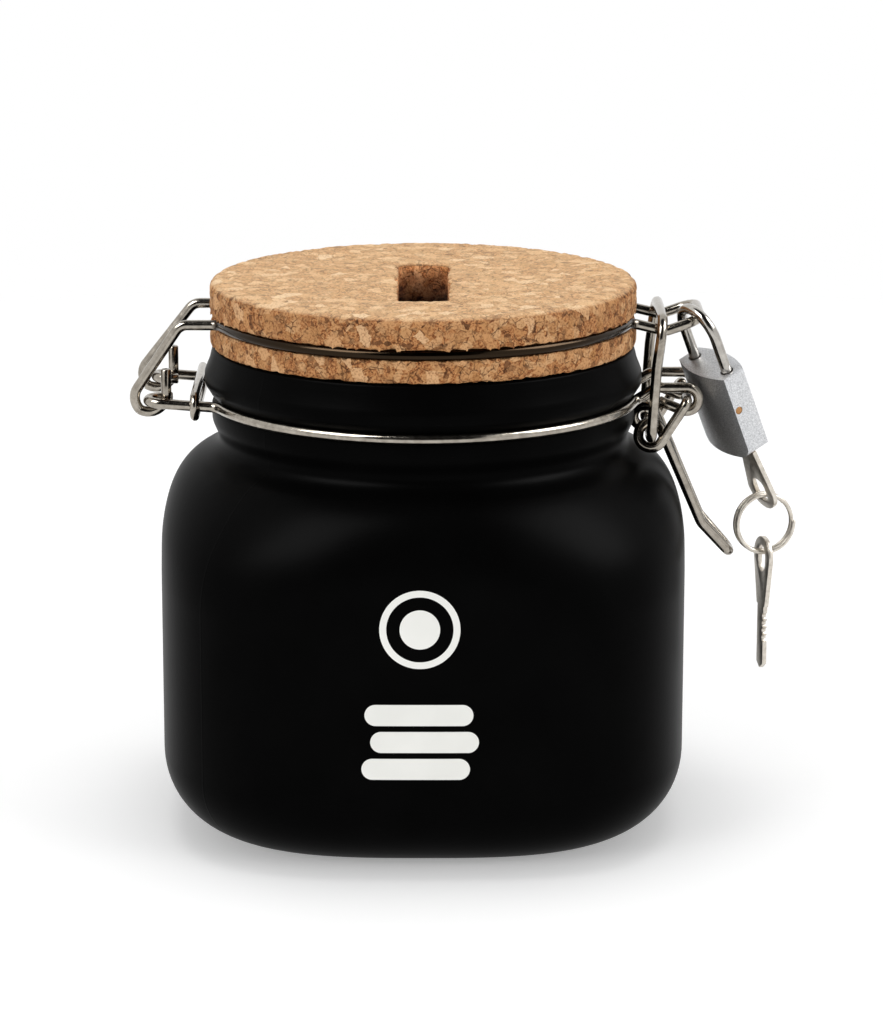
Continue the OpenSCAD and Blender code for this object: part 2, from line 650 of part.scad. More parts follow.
// A coil as one unbroken tube, with the least gap between its turns printed
module coil(r, pitch, turns, wire, per_turn, n) {
    last = ceil(turns * per_turn);
    samples = [for (i = [0:last]) let (a = 360 * turns * i / last)
        [[r * cos(a), r * sin(a), pitch * turns * i / last],
        unit([-2 * PI * r * sin(a), 2 * PI * r * cos(a), pitch])]];
    apart = [for (i = [0:last], j = [0:last]) if (abs(i - j) > per_turn / 2)
        norm(samples[i][0] - samples[j][0])];
    echo(least_gap_in_coil = min(apart) - wire);
    tube(samples, wire / 2, n);
}

module padlock_latch_spring() {
    spring_l = latch_x - latch_l - pocket_x - 2 * run_gap - spring_wire_d;
    color(steel) on_padlock() translate([pocket_x + run_gap + spring_wire_d / 2, 0, -latch_z - latch_h / 2])
        rotate([0, 90, 0])
            coil((spring_d - spring_wire_d) / 2, spring_l / spring_turns, spring_turns, spring_wire_d, 8, 6);
}

wafer_n = 4;
wafer_first = -padlock_h + wafer_inset;
function wafer_z(i) = wafer_first + i * wafer_pitch;

module padlock_plug() {
    groove_h = pin_d + 2 * run_gap;
    keyway = [blade_w, key_t, 0] + run_gap * [2, 2, 0] + [0, 0, plug_l + 2 * over];
    slot = [wafer_l, wafer_w, wafer_t] + 2 * seat_gap * [1, 1, 1];
    color(brass) on_padlock() translate([plug_shift, 0, 0]) difference() {
        rotate_extrude() polygon([[0, -padlock_h], [plug_r, -padlock_h], [plug_r, -pin_depth - groove_h / 2],
            [plug_r - pin_groove, -pin_depth - groove_h / 2], [plug_r - pin_groove, groove_h / 2 - pin_depth],
            [plug_r, groove_h / 2 - pin_depth], [plug_r, plug_l - padlock_h], [0, plug_l - padlock_h]]);
        translate([0, 0, plug_l / 2 - padlock_h]) cube(keyway, center = true);
        for (i = [0:wafer_n - 1]) translate([0, 0, wafer_z(i) + wafer_t / 2]) cube(slot, center = true);
    }
}

module wafer(i) {
    window_l = wafer_l - 2 * wafer_rim;
    window_w = wafer_w - 2 * wafer_rim;
    color(brass) on_padlock() translate([plug_shift, 0, wafer_z(i)]) linear_extrude(wafer_t) difference() {
        square([wafer_l, wafer_w], center = true);
        square([window_l, window_w], center = true);
    }
}

module padlock_wafer_1() { wafer(0); }
module padlock_wafer_2() { wafer(1); }
module padlock_wafer_3() { wafer(2); }
module padlock_wafer_4() { wafer(3); }

// A flat key standing on its bow: blade up from the origin, bow below it, hole near the end
module key_outline() {
    end_r = bow_w / 2;
    end_y = end_r - bow_l;
    hole_r = bow_hole_w / 2;
    hole_y = bow_rim + hole_r - bow_l;
    half = blade_w / 2;
    tip = blade_w / 3;
    step = 0.6;
    cut_d = 0.8;
    first_cut = wafer_first + wafer_t / 2 - key_z;
    difference() {
        polygon(concat([[half + step, -step], [half, -step], [half, blade_l - tip], [0, blade_l],
            [-half, blade_l - tip], [-half, -step], [-half - step, -step]],
            [for (a = [180:15:360]) [end_r * cos(a), end_y + end_r * sin(a)]]));
        polygon(concat([for (a = [180:20:360]) [hole_r * cos(a), hole_y + hole_r * sin(a)]],
            [for (a = [0:20:180]) [hole_r * cos(a), hole_y + bow_hole_l - bow_hole_w + hole_r * sin(a)]]));
        for (i = [0:wafer_n - 1]) translate([half, first_cut + i * wafer_pitch]) circle(cut_d);
    }
}

module key_blank() { rotate([90, 0, 0]) linear_extrude(key_t, center = true) key_outline(); }

module lock_key() { color(nickel) on_padlock() translate([plug_shift, 0, key_z]) key_blank(); }

// The split ring's frame: origin at the wire in the key's bow, ring hanging below in the XZ plane
module on_ring() {
    m = rotation(padlock_lean, padlock_roll, padlock_turn);
    translate(hang_point + m * (ring_seat - [0, 0, hang_h])) rotate([0, 0, ring_turn]) children();
}

function rotation(a, b, c) = [
    [cos(b) * cos(c), sin(a) * sin(b) * cos(c) - cos(a) * sin(c), cos(a) * sin(b) * cos(c) + sin(a) * sin(c)],
    [cos(b) * sin(c), sin(a) * sin(b) * sin(c) + cos(a) * cos(c), cos(a) * sin(b) * sin(c) - sin(a) * cos(c)],
    [-sin(b), sin(a) * cos(b), cos(a) * cos(b)]];

module key_ring() {
    // The two strands at the top lie evenly on both sides of the frame's middle
    top_advance = ring_pitch * ((90 - ring_end) / 360 + 0.5);
    color(nickel) on_ring() translate([0, top_advance, -ring_r]) rotate([90, 0, 0])
        rotate([0, 0, ring_end]) coil(ring_r, ring_pitch, ring_turns, ring_wire_d, 24, 6);
}

// Spare key, hanging on the two strands at the ring's bottom
module spare_key() {
    drop = 2 * ring_r - ring_lift;
    color(nickel) on_ring() translate([0, -ring_pitch / 2, -drop]) rotate([0, 180, 90])
        translate([0, 0, bow_l - bow_rim]) key_blank();
}

jar();
neck_wire_front();
neck_wire_back();
neck_clamp_ring();
cork_lid();
lid_wire();
lever();
bail();
padlock_shackle();
padlock_body();
padlock_retaining_pin();
padlock_latch();
padlock_latch_spring();
padlock_plug();
padlock_wafer_1();
padlock_wafer_2();
padlock_wafer_3();
padlock_wafer_4();
lock_key();
key_ring();
spare_key();
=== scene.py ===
import math
from functools import partial

import bmesh
import bpy
from mathutils import Matrix, Vector, noise
from mathutils.geometry import interpolate_bezier
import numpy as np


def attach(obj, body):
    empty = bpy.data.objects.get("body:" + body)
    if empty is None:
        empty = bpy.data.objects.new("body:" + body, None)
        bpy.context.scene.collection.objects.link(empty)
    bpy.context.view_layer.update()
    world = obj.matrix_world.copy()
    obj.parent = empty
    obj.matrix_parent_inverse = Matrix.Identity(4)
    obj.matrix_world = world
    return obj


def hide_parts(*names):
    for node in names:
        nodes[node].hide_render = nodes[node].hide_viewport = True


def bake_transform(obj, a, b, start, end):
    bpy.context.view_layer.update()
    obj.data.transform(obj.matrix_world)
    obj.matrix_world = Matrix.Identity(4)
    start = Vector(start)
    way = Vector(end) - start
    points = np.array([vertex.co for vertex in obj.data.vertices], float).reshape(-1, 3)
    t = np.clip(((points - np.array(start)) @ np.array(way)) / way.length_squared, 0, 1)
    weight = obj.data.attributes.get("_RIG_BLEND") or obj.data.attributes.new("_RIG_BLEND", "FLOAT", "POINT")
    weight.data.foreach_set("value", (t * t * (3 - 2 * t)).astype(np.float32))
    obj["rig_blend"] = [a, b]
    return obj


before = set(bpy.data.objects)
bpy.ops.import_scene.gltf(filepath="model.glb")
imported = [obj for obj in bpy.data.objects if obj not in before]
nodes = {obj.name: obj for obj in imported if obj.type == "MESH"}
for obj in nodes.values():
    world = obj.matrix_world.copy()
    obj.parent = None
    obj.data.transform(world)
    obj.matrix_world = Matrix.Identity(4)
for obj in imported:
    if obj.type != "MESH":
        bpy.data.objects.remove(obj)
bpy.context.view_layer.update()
scene = bpy.context.scene
mm, metre = 0.001, 1000
rgba = {"data_type": "RGBA"}
weld = {"turned": 1e-7, "solid": 2e-6}  # how close points are joined, in metres
print("frame loaded:", len(nodes), "solids")


def linearColor(hexText):  # sRGB hex to linear
    parts = [int(hexText[i:i + 2], 16) / 255 for i in (1, 3, 5)]
    return [c / 12.92 if c <= 0.04045 else ((c + 0.055) / 1.055) ** 2.4 for c in parts] + [1.0]


# each socket, by name or number or in their order, gets a link from a node or a value; a Map Range has
# its value, from min and max, and to min and max in that order
def setInputs(tree, node, inputs):
    for socket, value in inputs.items() if isinstance(inputs, dict) else enumerate(inputs):
        if isinstance(value, bpy.types.Node):
            value = value.outputs[0]
        if isinstance(value, bpy.types.NodeSocket):
            tree.links.new(value, node.inputs[socket])
        else:
            node.inputs[socket].default_value = value


# a node with its settings, or its operation alone, its links and its colour stops
def addNode(tree, kind, settings=(), inputs=(), stops=()):
    node = tree.nodes.new(kind)
    settings = {"operation": settings} if isinstance(settings, str) else dict(settings)
    for name, value in settings.items():
        setattr(node, name, value)
    for i, (place, shade) in enumerate(stops):
        band = node.color_ramp.elements
        element = band[i] if i < len(band) else band.new(place)
        element.position, element.color = place, linearColor(shade)
    setInputs(tree, node, inputs)
    return node


def newMaterial(name, constants):  # Principled shader with its constants on its own sockets
    material = bpy.data.materials.new(name)
    material.use_nodes = True
    tree = material.node_tree
    shader = tree.nodes["Principled BSDF"]
    setInputs(tree, shader, constants)
    return material, tree, shader


def perMetre(millimetres):  # texture scale for a pattern of that size
    return 1 / (millimetres * mm)


# Black paint sprayed on glass: near black and satin, with soft broad highlights and a faint orange peel
paint = {"blacks": [(0.3, "#030303"), (0.7, "#050505")], "whites": [(0.3, "#efefea"), (0.7, "#f6f6f1")],
         "roughness": 0.36, "ior": 1.5, "specular": 0.015, "cloud": 14, "peel": 0.9, "peelDepth": 0.02,
         "bump": 0.6, "seamAngle": 43.5, "seamHalf": 0.35, "seamDepth": 0.05, "printDepth": 0.03,
         "printFront": -40, "coinCentre": (-0.7, 56.5), "coinRadius": 8.6, "coinLine": 1.5, "coinHeart": 4.3,
         "stack": [(-1.6, 25.6), (0.3, 31.6), (-0.9, 37.6)], "barHalf": 11.6, "barRadius": 2.35}


def blackPaint():
    s = paint
    material, tree, shader = newMaterial("satinBlackPaintOnGlass", {
        "Roughness": s["roughness"], "IOR": s["ior"], "Specular IOR Level": s["specular"]})
    add = partial(addNode, tree)
    coords = add("ShaderNodeTexCoord").outputs["Object"]
    # a plain coin over a stack of coins, printed on the front and drawn in millimetres
    flat = add("ShaderNodeMapping", inputs={"Vector": coords, "Scale": (metre, 0, metre)})
    span = 2 * s["coinRadius"]
    fromCoin = add("ShaderNodeVectorMath", "DISTANCE",
                   [flat, (s["coinCentre"][0], 0, s["coinCentre"][1])]).outputs["Value"]
    share = add("ShaderNodeMath", {"operation": "DIVIDE", "use_clamp": True}, [fromCoin, span])
    printed = add("ShaderNodeValToRGB", inputs={"Fac": share}, stops=[
        (0.0, "#ffffff"), (s["coinHeart"] / span, "#000000"),
        ((s["coinRadius"] - s["coinLine"]) / span, "#ffffff"), (0.5, "#000000")])
    printed.color_ramp.interpolation = "CONSTANT"
    for x, z in s["stack"]:  # distance to a flat bar with round ends
        off = flat
        straight = (s["barHalf"] - s["barRadius"], 0, 0)
        for operation, operand in (("SUBTRACT", (x, 0, z)), ("ABSOLUTE", (0, 0, 0)),
                                   ("SUBTRACT", straight), ("MAXIMUM", (0, 0, 0))):
            off = add("ShaderNodeVectorMath", operation, [off, operand])
        far = add("ShaderNodeVectorMath", "LENGTH", [off]).outputs["Value"]
        inside = add("ShaderNodeMath", "LESS_THAN", [far, s["barRadius"]])
        printed = add("ShaderNodeMath", "MAXIMUM", [printed, inside])
    depth = add("ShaderNodeSeparateXYZ", inputs=[coords]).outputs["Y"]
    front = add("ShaderNodeMath", "LESS_THAN", [depth, s["printFront"] * mm])
    printed = add("ShaderNodeMath", "MULTIPLY", [printed, front])
    cloud = add("ShaderNodeTexNoise", inputs={"Vector": coords, "Scale": perMetre(s["cloud"]), "Detail": 3})
    black = add("ShaderNodeValToRGB", inputs={"Fac": cloud}, stops=s["blacks"])
    white = add("ShaderNodeValToRGB", inputs={"Fac": cloud}, stops=s["whites"])
    color = add("ShaderNodeMix", rgba, {0: printed, 6: black, 7: white})
    # orange peel of the sprayed paint, drawn as coarse as it shows, the mould's seam and the print's edge
    peel = add("ShaderNodeTexNoise", inputs={"Vector": coords, "Scale": perMetre(s["peel"]), "Detail": 2})
    turn = math.radians(s["seamAngle"])
    aside = add("ShaderNodeVectorMath", "DOT_PRODUCT",
                [coords, (-math.sin(turn), math.cos(turn), 0)]).outputs["Value"]
    aside = add("ShaderNodeMath", "ABSOLUTE", [aside])
    seam = add("ShaderNodeMapRange", inputs=[aside, 0.0, s["seamHalf"] * mm, 1.0, 0.0])
    height = 0.0
    for part, size in ((peel, s["peelDepth"]), (seam, s["seamDepth"]), (printed, s["printDepth"])):
        height = add("ShaderNodeMath", "MULTIPLY_ADD", [part, size, height])
    bump = add("ShaderNodeBump", inputs={"Height": height, "Distance": mm, "Strength": s["bump"]})
    setInputs(tree, shader, {"Base Color": color.outputs[2], "Normal": bump})
    return material


# Agglomerated cork, ground, pressed and sanded: pale chips of 2 to 5 mm in a fine brown crumb, with dark bark
# in it, a top painted paler as painted light from above, and painted light and shade on the slot's walls
corkLook = {"grain": 0.5, "grainRough": 0.62, "warp": 1.5, "push": 1.15, "roughness": 0.86, "ior": 1.45,
            "specular": 0.2, "pores": [(0.32, "#a58568"), (0.52, "#ffffff")], "poreShare": 0.75,
            "crumb": [(0.3, "#7c4a28"), (0.44, "#a96f43"), (0.57, "#c28957"), (0.72, "#d29d69")],
            "layers": [(1.1, 0.81, 0.85, 0.88, [(0.0, "#583720"), (1.0, "#805333")]),
                       (1.5, 0.55, 0.62, 0.55, [(0.0, "#a87548"), (1.0, "#c99a6b")]),
                       (2.0, 0.64, 0.66, 0.78, [(0.0, "#bd8652"), (1.0, "#dfb07f")]),
                       (3.0, 0.78, 0.80, 0.88, [(0.0, "#cb9460"), (0.5, "#dcaa79"), (1.0, "#e8be91")])],
            "crevice": 2.2, "creviceWidth": 0.06, "creviceShade": "#53301a", "creviceShare": 0.85,
            "creviceSome": (0.42, 0.58), "chipRelief": 0.12, "reliefDepth": 0.35, "bump": 0.7,
            # the top's painted light: a height band, and the gain, share and shade that paint it paler
            "top": (120.5, 121.1), "topLightGain": (1.72, 2.15, 2.6), "topLightShare": 0.5, "topLitShade": "#e2ba90",
            # the slot's walls: where they lie, and the painted light gain and painted shade that colour them
            "slotHalf": (6.5, 23.5), "slotShift": 4.0, "slotShadeDepth": (120.6, 112.0),
            "slotLightGain": (1.85, 1.8, 1.85),
            "slotShadeRamp": [(0.0, "#ffffff"), (0.45, "#c4bab2"), (1.0, "#3c342e")]}


def pressedCork():
    s = corkLook
    material, tree, shader = newMaterial("agglomeratedCork", {
        "Roughness": s["roughness"], "IOR": s["ior"], "Specular IOR Level": s["specular"]})
    add = partial(addNode, tree)
    coords = add("ShaderNodeTexCoord").outputs["Object"]
    warp = add("ShaderNodeTexNoise", inputs={"Vector": coords, "Scale": perMetre(s["warp"]), "Detail": 3})
    pushed = add("ShaderNodeVectorMath", "MULTIPLY_ADD", [warp.outputs["Color"], (s["push"] * mm,) * 3, coords])
    grain = add("ShaderNodeTexNoise", inputs={
        "Vector": coords, "Scale": perMetre(s["grain"]), "Detail": 3, "Roughness": s["grainRough"]})
    color = add("ShaderNodeValToRGB", inputs={"Fac": grain}, stops=s["crumb"]).outputs[0]
    for size, low, high, share, shades in s["layers"]:  # some cells of each size are chips
        cells = add("ShaderNodeTexVoronoi", inputs={"Vector": pushed, "Scale": perMetre(size)})
        picks = add("ShaderNodeSeparateXYZ", inputs=[cells.outputs["Color"]]).outputs
        chosen = add("ShaderNodeMapRange", inputs=[picks["X"], low, high, 0.0, share])
        shade = add("ShaderNodeValToRGB", inputs={"Fac": picks["Y"]}, stops=shades)
        color = add("ShaderNodeMix", rgba, {0: chosen, 6: color, 7: shade}).outputs[2]
    # thin dark crevices between some of the granules, none across a large chip, and pores all over
    edge = add("ShaderNodeTexVoronoi", {"feature": "DISTANCE_TO_EDGE"},
               {"Vector": pushed, "Scale": perMetre(s["crevice"])})
    edge = add("ShaderNodeMapRange", inputs=[edge, 0.0, s["creviceWidth"], 1.0, 0.0])
    some = add("ShaderNodeMapRange", inputs=[warp, *s["creviceSome"], 0.0, s["creviceShare"]])
    crack = add("ShaderNodeMath", "MULTIPLY", [edge, some])
    clear = add("ShaderNodeMath", "SUBTRACT", [1.0, chosen])
    crack = add("ShaderNodeMath", "MULTIPLY", [crack, clear])
    color = add("ShaderNodeMix", rgba, {0: crack, 6: color, 7: linearColor(s["creviceShade"])}).outputs[2]
    pores = add("ShaderNodeValToRGB", inputs={"Fac": grain}, stops=s["pores"])
    color = add("ShaderNodeMix", {"data_type": "RGBA", "blend_type": "MULTIPLY"},
                {0: s["poreShare"], 6: color, 7: pores}).outputs[2]
    height = add("ShaderNodeSeparateXYZ", inputs=[coords]).outputs["Z"]
    # painted light: the top is painted paler and more even, as light from above falls on it
    litTop = add("ShaderNodeMapRange", inputs=[height] + [z * mm for z in s["top"]])
    paintedTopLight = add("ShaderNodeVectorMath", "MULTIPLY", [color, s["topLightGain"]])
    paintedTopLight = add("ShaderNodeMix", rgba, {0: s["topLightShare"], 6: paintedTopLight, 7: linearColor(s["topLitShade"])}).outputs[2]
    color = add("ShaderNodeMix", rgba, {0: litTop, 6: color, 7: paintedTopLight}).outputs[2]
    # the slot's sawn walls keep the granules' colours, brightened as painted light and painted darker further
    # down as painted shade
    off = coords
    for operation, operand in (("ADD", (0, s["slotShift"] * mm, 0)), ("ABSOLUTE", (0, 0, 0)),
                               ("SUBTRACT", (s["slotHalf"][0] * mm, s["slotHalf"][1] * mm, 0))):
        off = add("ShaderNodeVectorMath", operation, [off, operand])
    beyond = add("ShaderNodeSeparateXYZ", inputs=[off]).outputs
    aside = add("ShaderNodeMath", "MAXIMUM", [beyond["X"], beyond["Y"]])
    within = add("ShaderNodeMath", "LESS_THAN", [aside, 0.0])
    below = add("ShaderNodeMath", "LESS_THAN", [height, s["slotShadeDepth"][0] * mm])
    within = add("ShaderNodeMath", "MULTIPLY", [within, below])
    shadeDepth = add("ShaderNodeMapRange", inputs=[height] + [z * mm for z in s["slotShadeDepth"]])
    shade = add("ShaderNodeValToRGB", inputs={"Fac": shadeDepth}, stops=s["slotShadeRamp"])
    # painted light on the walls, then painted shade that deepens further down
    sawn = add("ShaderNodeVectorMath", "MULTIPLY", [color, s["slotLightGain"]])
    sawn = add("ShaderNodeVectorMath", "MULTIPLY", [sawn, shade])
    color = add("ShaderNodeMix", rgba, {0: within, 6: color, 7: sawn}).outputs[2]
    relief = add("ShaderNodeMath", "MULTIPLY_ADD", [chosen, s["chipRelief"], grain])
    relief = add("ShaderNodeMath", "SUBTRACT", [relief, crack])
    bump = add("ShaderNodeBump", inputs={
        "Height": relief, "Distance": s["reliefDepth"] * mm, "Strength": s["bump"]})
    setInputs(tree, shader, {"Base Color": color, "Normal": bump})
    return material


# Metals: drawn, plated, sprayed or stamped, each with its own faint unevenness
metalFleck = {"low": 0.3, "high": 0.7, "roughness": 0.6, "bump": 0.8, "grooveShadeEdge": 1}


# shades from dark to pale, rough from and to
def metal(name, shades, rough, size, bumpDepth=0.0, grooveShade=None):
    s = metalFleck
    material, tree, shader = newMaterial(name, {"Metallic": 1.0})
    add = partial(addNode, tree)
    coords = add("ShaderNodeTexCoord").outputs["Object"]
    fleck = add("ShaderNodeTexNoise", inputs={
        "Vector": coords, "Scale": perMetre(size), "Detail": 3, "Roughness": s["roughness"]})
    spread = (s["high"] - s["low"]) / (len(shades) - 1)
    stops = [(s["low"] + spread * i, shade) for i, shade in enumerate(shades)]
    color = add("ShaderNodeValToRGB", inputs={"Fac": fleck}, stops=stops).outputs[0]
    # painted shade and a painted dark reflection on the wire where it lies in the cork's groove
    if grooveShade:  # inside a radius round the jar's axis and over a height, all in millimetres
        shade, radius, low = grooveShade
        flat = add("ShaderNodeVectorMath", "MULTIPLY", [coords, (1, 1, 0)])
        far = add("ShaderNodeVectorMath", "LENGTH", [flat]).outputs["Value"]
        edge = (radius + s["grooveShadeEdge"]) * mm
        near = add("ShaderNodeMapRange", inputs=[far, radius * mm, edge, 1.0, 0.0])
        height = add("ShaderNodeSeparateXYZ", inputs=[coords]).outputs["Z"]
        above = add("ShaderNodeMath", "GREATER_THAN", [height, low * mm])
        grooveShadeMask = add("ShaderNodeMath", "MULTIPLY", [near, above])
        color = add("ShaderNodeMix", rgba, {0: grooveShadeMask, 6: color, 7: linearColor(shade)}).outputs[2]
    wear = add("ShaderNodeMapRange", inputs=[fleck, s["low"], s["high"], *rough])
    setInputs(tree, shader, {"Base Color": color, "Roughness": wear})
    if bumpDepth:
        bump = add("ShaderNodeBump", inputs={
            "Height": fleck, "Distance": bumpDepth * mm, "Strength": s["bump"]})
        setInputs(tree, shader, {"Normal": bump})
    return material


looks = {
    "jar": blackPaint(),
    "cork": pressedCork(),
    # grey with sharp streaks, and painted dark where it lies in the cork's groove, as painted shade and a
    # painted dark reflection
    "wire": metal("brightDrawnSteelWire", ["#8a8379", "#ada69b"], (0.12, 0.2), 1.6,
                  grooveShade=("#2c231a", 47.7, 108)),
    # brighter and smoother
    "shackle": metal("platedShackleSteel", ["#a19d97", "#bdb9b2"], (0.10, 0.18), 2.0),
    # cast and sprayed: a fine speckle, drawn coarser than the real grit so that it shows
    "lock": metal("speckledZincCasting", ["#aaabad", "#cbccce", "#e4e5e6"], (0.38, 0.52), 0.32, 0.08),
    # warm and softly turned
    "brass": metal("turnedBrass", ["#9a6f45", "#b98c5f"], (0.3, 0.42), 0.8),
    # pale and warm
    "nickel": metal("stampedNickel", ["#b9b2a7", "#d0c9be", "#ded8ce"], (0.32, 0.44), 1.1, 0.012),
}
print("materials ready:", len(looks))


def linked(name, data):
    piece = bpy.data.objects.new(name, data)
    scene.collection.objects.link(piece)
    return piece


def finishPiece(piece, body, replaced, look):
    piece.data.materials.clear()
    piece.data.materials.append(look)
    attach(piece, body)
    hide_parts(replaced)


def plainMesh(piece):  # what the piece evaluates to
    bpy.context.view_layer.update()
    graph = bpy.context.evaluated_depsgraph_get()
    return bpy.data.meshes.new_from_object(piece.evaluated_get(graph), depsgraph=graph)


def applied(piece):  # modifiers turned into a plain mesh
    mesh, old = plainMesh(piece), piece.data
    piece.modifiers.clear()
    piece.data = mesh
    bpy.data.meshes.remove(old)


def cutAway(piece, tool):
    cut = piece.modifiers.new("cut", "BOOLEAN")
    cut.operation, cut.solver, cut.object = "DIFFERENCE", "EXACT", tool


def welded(mesh, apart, flat=0):  # close points joined, and faces that turn less than flat degrees
    work = bmesh.new()
    work.from_mesh(mesh)
    bmesh.ops.remove_doubles(work, verts=work.verts, dist=apart)
    if flat:
        bmesh.ops.dissolve_limit(work, angle_limit=math.radians(flat), verts=work.verts, edges=work.edges)
    else:
        bmesh.ops.recalc_face_normals(work, faces=work.faces)
    work.to_mesh(mesh)
    work.free()


def smooth(mesh, degrees=180):
    for face in mesh.polygons:
        face.use_smooth = True
    if degrees < 180:
        mesh.set_sharp_from_angle(angle=math.radians(degrees))


# Wires: a tube round a bent path, made in Geometry Nodes
wireSize = {"diameter": 2.3, "clamp": 2.0, "sides": 24, "loopBore": 1.5, "cornerR": 3.0, "armCornerR": 2.7,
            "claspCornerR": 2.1, "gap": 0.3, "seat": 0.1, "endTaper": 0.8, "nip": 0.1, "sharp": 50, "step": 9,
            "largeBend": 20, "largeStep": 3, "least": 0.03}
wireR = wireSize["diameter"] / 2
loopR = wireSize["loopBore"] + wireR


def tubeTree():
    tree = bpy.data.node_groups.new("wireTube", "GeometryNodeTree")
    face = tree.interface
    face.new_socket("Geometry", in_out="OUTPUT", socket_type="NodeSocketGeometry")
    for name, kind in (("Geometry", "NodeSocketGeometry"), ("Radius", "NodeSocketFloat"),
                       ("Sides", "NodeSocketInt"), ("Material", "NodeSocketMaterial")):
        face.new_socket(name, in_out="INPUT", socket_type=kind)
    source = addNode(tree, "NodeGroupInput").outputs
    curve = addNode(tree, "GeometryNodeMeshToCurve", inputs={"Mesh": source["Geometry"]})
    ring = addNode(tree, "GeometryNodeCurvePrimitiveCircle", inputs={
        "Resolution": source["Sides"], "Radius": source["Radius"]})
    girth = addNode(tree, "GeometryNodeInputNamedAttribute", {"data_type": "FLOAT"}, {"Name": "girth"})
    tube = addNode(tree, "GeometryNodeCurveToMesh", inputs={
        "Curve": curve, "Profile Curve": ring, "Scale": girth, "Fill Caps": True})
    soft = addNode(tree, "GeometryNodeSetShadeSmooth", inputs={"Geometry": tube})
    whole = addNode(tree, "GeometryNodeRealizeInstances", inputs={"Geometry": soft})
    dressed = addNode(tree, "GeometryNodeSetMaterial", inputs={
        "Geometry": whole, "Material": source["Material"]})
    addNode(tree, "NodeGroupOutput", inputs=[dressed])
    return tree


tubeNodes = tubeTree()


def tubePiece(name, path, diameter, look, closed=False):  # path in millimetres
    points = [p * mm for p in path]
    girth = [1.0] * len(points)
    if not closed:  # cut ends are a little rounded
        first, last = (points[1] - points[0]).normalized(), (points[-1] - points[-2]).normalized()
        nip = diameter * mm * wireSize["nip"]
        points = ([points[0], points[0] + first * nip] + points[1:-1]
                  + [points[-1] - last * nip, points[-1]])
        girth = [wireSize["endTaper"]] + [1.0] * (len(points) - 2) + [wireSize["endTaper"]]
    count = len(points)
    edges = [(i, (i + 1) % count) for i in range(count if closed else count - 1)]
    mesh = bpy.data.meshes.new(name)
    mesh.from_pydata(points, edges, [])
    mesh.attributes.new("girth", "FLOAT", "POINT").data.foreach_set("value", girth)
    piece = linked(name, mesh)
    modifier = piece.modifiers.new("tube", "NODES")
    modifier.node_group = tubeNodes
    values = {"Radius": diameter * mm / 2, "Sides": wireSize["sides"], "Material": look}
    for item in tubeNodes.interface.items_tree:
        if item.in_out == "INPUT" and item.name in values:
            modifier[item.identifier] = values[item.name]
    applied(piece)
    for attribute in [a for a in piece.data.attributes if a.name == "girth"]:
        piece.data.attributes.remove(attribute)
    smooth(piece.data, wireSize["sharp"])
    return piece


def wirePiece(name, path, body, node, diameter=wireSize["diameter"], closed=False):
    piece = tubePiece(name, path, diameter, looks["wire"], closed)
    finishPiece(piece, body, node, looks["wire"])


def bentPath(points, bends):  # corners of a path rounded to their own radius, in fine steps
    s = wireSize
    points = [Vector(p) for p in points]
    out = [points[0]]
    for i in range(1, len(points) - 1):
        before, corner, after = points[i - 1], points[i], points[i + 1]
        along, onward = (corner - before).normalized(), (after - corner).normalized()
        turn = along.angle(onward)
        inward = (onward - along * along.dot(onward)).normalized()
        start = corner - along * bends[i] * math.tan(turn / 2)
        centre = start + inward * bends[i]
        step = s["largeStep"] if bends[i] > s["largeBend"] else s["step"]
        steps = max(2, math.ceil(math.degrees(turn) / step))
        for k in range(steps + 1):
            t = turn * k / steps
            out.append(centre - inward * bends[i] * math.cos(t) + along * bends[i] * math.sin(t))
    out.append(points[-1])
    return [p for i, p in enumerate(out) if i == 0 or (p - out[i - 1]).length > s["least"]]


# corners of a curl in an upright plane, in degrees
def curlPoints(centre, radius, heading, turn, steps, y0, y1):
    half = math.radians(turn / steps / 2)
    reach = radius / math.cos(half)
    out = []
    for i in range(steps):
        angle = math.radians(heading + 90) - half * (1 + 2 * i)
        out.append(Vector((centre[0] + reach * math.cos(angle), y0 + (y1 - y0) * i / (steps - 1),
                           centre[1] + reach * math.sin(angle))))
    return out


def ringAngle(ring, y):
    return math.asin((y + wireSize["cornerR"]) / (ring + wireSize["cornerR"]))


def ringCorner(ring, y, side, z):  # where a straight arm runs into a ring
    angle = ringAngle(ring, y)
    return Vector((side * (ring - y * math.sin(angle)) / math.cos(angle), -y, z))


def ringVertex(ring, yLeft, yRight, z):  # corner whose bend is the ring's front stretch
    left, right = math.pi + ringAngle(ring, yLeft), 2 * math.pi - ringAngle(ring, yRight)
    middle, reach = (left + right) / 2, ring / math.cos((right - left) / 2)
    return Vector((reach * math.cos(middle), reach * math.sin(middle), z))


def flipped(points):
    return [Vector((p.x, -p.y, p.z)) for p in reversed(points)]


# Neck wire, in two halves, and the oval ring that ties them
neckWire = {"z": 95.3, "ringR": 47.6, "hingeX": 60.6, "hingeZ": 96.4, "hingeHalf": 13.0, "hingeLoop": 3.0,
            "stub": 5.2, "claspHalf": 8.6, "riseX": 51.6, "pivot": (58.4, 95.6), "tail": 5.6, "tailDir": 157.0,
            "curlSteps": 3, "clampX": 50.2, "clampSteps": 16}


